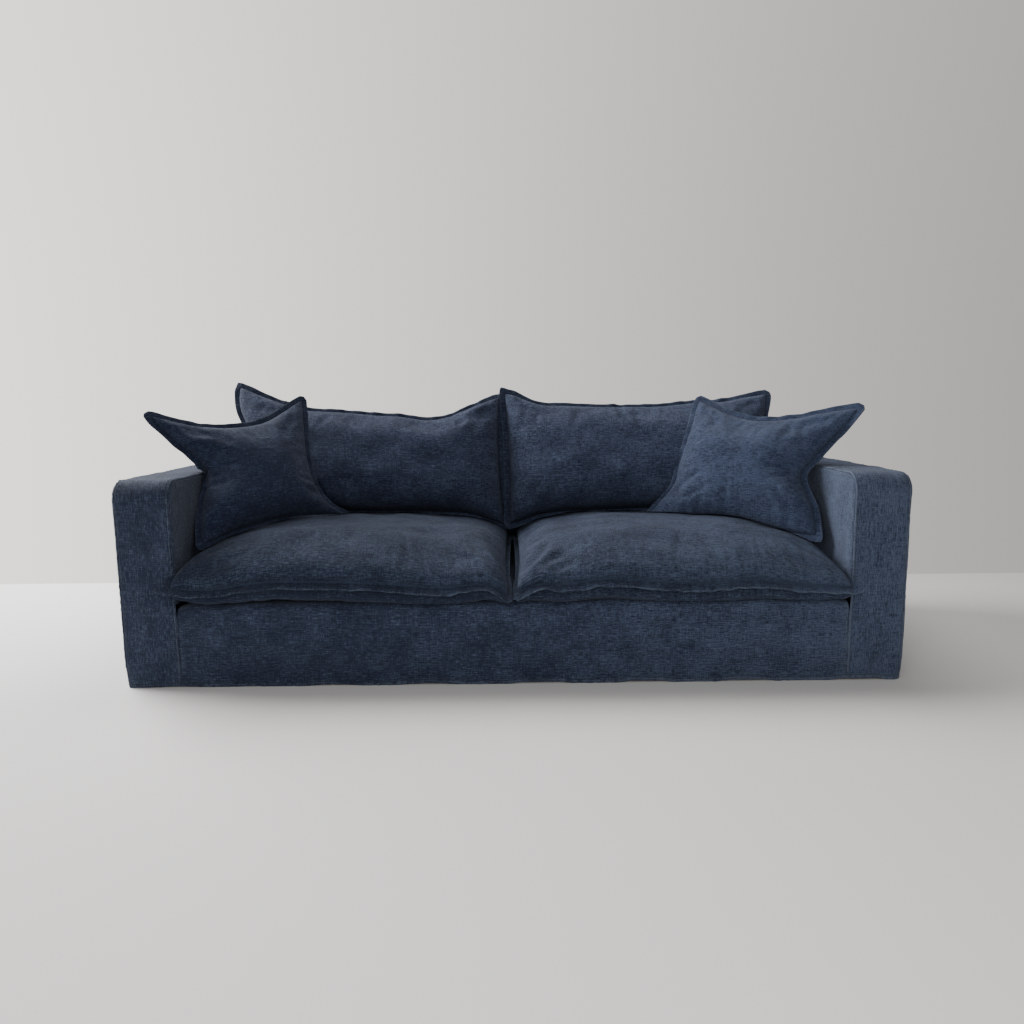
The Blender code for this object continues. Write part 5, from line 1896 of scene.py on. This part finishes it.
    @staticmethod
    def stitches(graph: Nodes) -> bpy.types.NodeSocket:
        """1 on the thread of a stitch line and 0 elsewhere."""
        off = graph.add("ShaderNodeAttribute", attribute_name=STITCH).outputs["Fac"]
        run = graph.add("ShaderNodeAttribute", attribute_name=STITCH_RUN).outputs["Fac"]
        beside = graph.remap(graph.math("ABSOLUTE", off), 0.0009, 0.0004)
        step = graph.math("PINGPONG", run, 0.0024)
        return graph.math("MULTIPLY", beside, graph.remap(step, 0.0006, 0.0010))


COVER_LINEN = WashedLinen(
    "washed linen, cover", "cover_cloth",
    deep=(0.0105, 0.0150, 0.0345), pale=(0.083, 0.108, 0.176), wear_and_highlight=(0.140, 0.172, 0.236),
    sheen=0.14,
)
# A darker copy of the cover's cloth: painted shade on the seats, which lie low between the arms and
# under the back cushions.
SHADED_SEAT_LINEN = WashedLinen(
    "washed linen, seats, darker for painted shade", "seat_cloth",
    deep=(0.0094, 0.0141, 0.0305), pale=(0.069, 0.091, 0.152), wear_and_highlight=(0.113, 0.148, 0.204),
    sheen=0.05, painted_fold_shade=0.97,
)
BACK_LINEN = WashedLinen(
    "washed linen, backs", "back_cloth",
    deep=(0.0110, 0.0150, 0.0350), pale=(0.084, 0.109, 0.182), wear_and_highlight=(0.112, 0.138, 0.196),
    sheen=0.05,
)
SCATTER_LINEN = WashedLinen(
    "washed linen, scatter cushions", "scatter_cloth",
    deep=(0.0085, 0.0125, 0.0320), pale=(0.059, 0.080, 0.144), wear_and_highlight=(0.100, 0.125, 0.180),
    sheen=0.08,
)


def build_cover() -> None:
    """Models every sewn panel of the cover."""
    panels = [FrontRail(11), Deck(12), InsideBack(13), BackBand(14), OutsideBack(15)]
    for number, side in enumerate((-1, 1)):
        panels += [ArmBand(side, 21 + number), arm_outside(side, 23 + number),
                   arm_inside(side, 25 + number)]
    for panel in panels:
        piece = panel.build(COVER_LINEN)
        LOG.info("%s: %d faces", piece.name, len(piece.data.polygons))


def build_cushions() -> None:
    """Models the seat cushions, the back cushions on them, and the scatter cushions."""
    neighbours = Neighbours()
    down, backwards = (0.0, 0.0, -1.0), (0.0, 1.0, 0.0)
    groups = (
        ((SEAT_LEFT, SEAT_RIGHT), SHADED_SEAT_LINEN, down),
        ((BACK_LEFT, BACK_RIGHT), BACK_LINEN, backwards),
        ((SCATTER_LEFT, SCATTER_RIGHT), SCATTER_LINEN, backwards),
    )
    for patterns, finish, direction in groups:
        pieces = [Cushion(pattern, neighbours).build(finish) for pattern in patterns]
        for piece in pieces:
            neighbours.add(piece, direction)
            LOG.info("%s: %d faces", piece.name, len(piece.data.polygons))


@dataclass(frozen=True)
class Studio:
    """Camera at the photograph's angle, plain pale floor and soft studio light."""

    camera_back: float = -2.371
    camera_height: float = 0.867
    look_down: float = math.radians(7.93)
    roll: float = math.radians(-0.65)
    lens: float = 28.04
    sensor: float = 36.0
    floor_width: float = 30.0
    floor_front: float = -20.0
    floor_rear: float = 1.0
    floor_colour: Colour = (0.87, 0.855, 0.835)
    wall_colour: Colour = (0.96, 0.935, 0.90)
    wall_fall: float = -1.2
    ambient: float = 0.23

    def build(self) -> None:
        """Sets up the whole studio."""
        self.add_camera()
        self.add_floor()
        self.add_world()
        self.add_light("window light", (-3.2, 1.0, 2.6), (0.0, 0.0, 0.3), 2.4, 285.0)
        self.add_light("overhead light", (0.2, 1.3, 3.2), (0.0, 0.1, 0.2), 2.2, 50.0)
        self.add_light("front fill", (-0.4, -3.8, 1.6), (0.5, -0.4, 0.3), 2.2, 55.0)

    def add_camera(self) -> None:
        """Adds the camera and makes it the scene's camera."""
        camera = bpy.data.cameras.new("camera")
        camera.lens = self.lens
        camera.sensor_width = self.sensor
        holder = bpy.data.objects.new("camera", camera)
        bpy.context.scene.collection.objects.link(holder)
        place = Matrix.Translation((0.0, self.camera_back + SIZES.front_y, self.camera_height))
        tilt = Matrix.Rotation(math.pi / 2 - self.look_down, 4, "X")
        holder.matrix_world = place @ tilt @ Matrix.Rotation(self.roll, 4, "Z")
        bpy.context.scene.camera = holder

    def add_floor(self) -> None:
        """Adds the plain floor."""
        deselect_all()
        bpy.ops.mesh.primitive_plane_add(size=1.0)
        floor = bpy.context.object
        floor.scale = (self.floor_width, self.floor_rear - self.floor_front, 1.0)
        floor.location.y = (self.floor_rear + self.floor_front) / 2
        floor.name = "floor"
        material = bpy.data.materials.new("plain floor")
        material.use_nodes = True
        shader = material.node_tree.nodes["Principled BSDF"]
        shader.inputs["Base Color"].default_value = (*self.floor_colour, 1.0)
        shader.inputs["Roughness"].default_value = 0.9
        floor.data.materials.append(material)

    def add_world(self) -> None:
        """Adds the pale surroundings, brighter to the left, and their weak even light."""
        world = bpy.data.worlds.new("studio")
        world.use_nodes = True
        graph = Nodes(world.node_tree)
        seen = world.node_tree.nodes["Background"]
        seen.inputs["Color"].default_value = (*self.wall_colour, 1.0)
        heading = graph.add("ShaderNodeTexCoord").outputs["Generated"]
        parts = graph.add("ShaderNodeSeparateXYZ")
        graph.join(heading, parts.inputs[0])
        fall = graph.math("EXPONENT", graph.math("MULTIPLY", parts.outputs[0], self.wall_fall))
        graph.join(fall, seen.inputs["Strength"])
        lit = graph.add("ShaderNodeBackground")
        lit.inputs["Color"].default_value = (*self.wall_colour, 1.0)
        lit.inputs["Strength"].default_value = self.ambient
        chosen = graph.add("ShaderNodeMixShader")
        graph.join(graph.add("ShaderNodeLightPath").outputs["Is Camera Ray"], chosen.inputs[0])
        graph.join(lit.outputs[0], chosen.inputs[1])
        graph.join(seen.outputs[0], chosen.inputs[2])
        graph.join(chosen.outputs[0], world.node_tree.nodes["World Output"].inputs["Surface"])
        bpy.context.scene.world = world

    @staticmethod
    def add_light(name: str, place: tuple[float, float, float],
                  target: tuple[float, float, float], size: float, power: float) -> None:
        """Adds one soft square light that looks at a target."""
        light = bpy.data.lights.new(name, "AREA")
        light.size = size
        light.energy = power
        holder = bpy.data.objects.new(name, light)
        bpy.context.scene.collection.objects.link(holder)
        holder.location = place
        heading = Vector(target) - Vector(place)
        holder.rotation_euler = heading.to_track_quat("-Z", "Y").to_euler()


def main() -> None:
    """Builds the cover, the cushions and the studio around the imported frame."""
    logging.basicConfig(level=logging.INFO, format="%(message)s")
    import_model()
    build_cover()
    build_cushions()
    Studio().build()


if __name__ == "__main__":
    main()
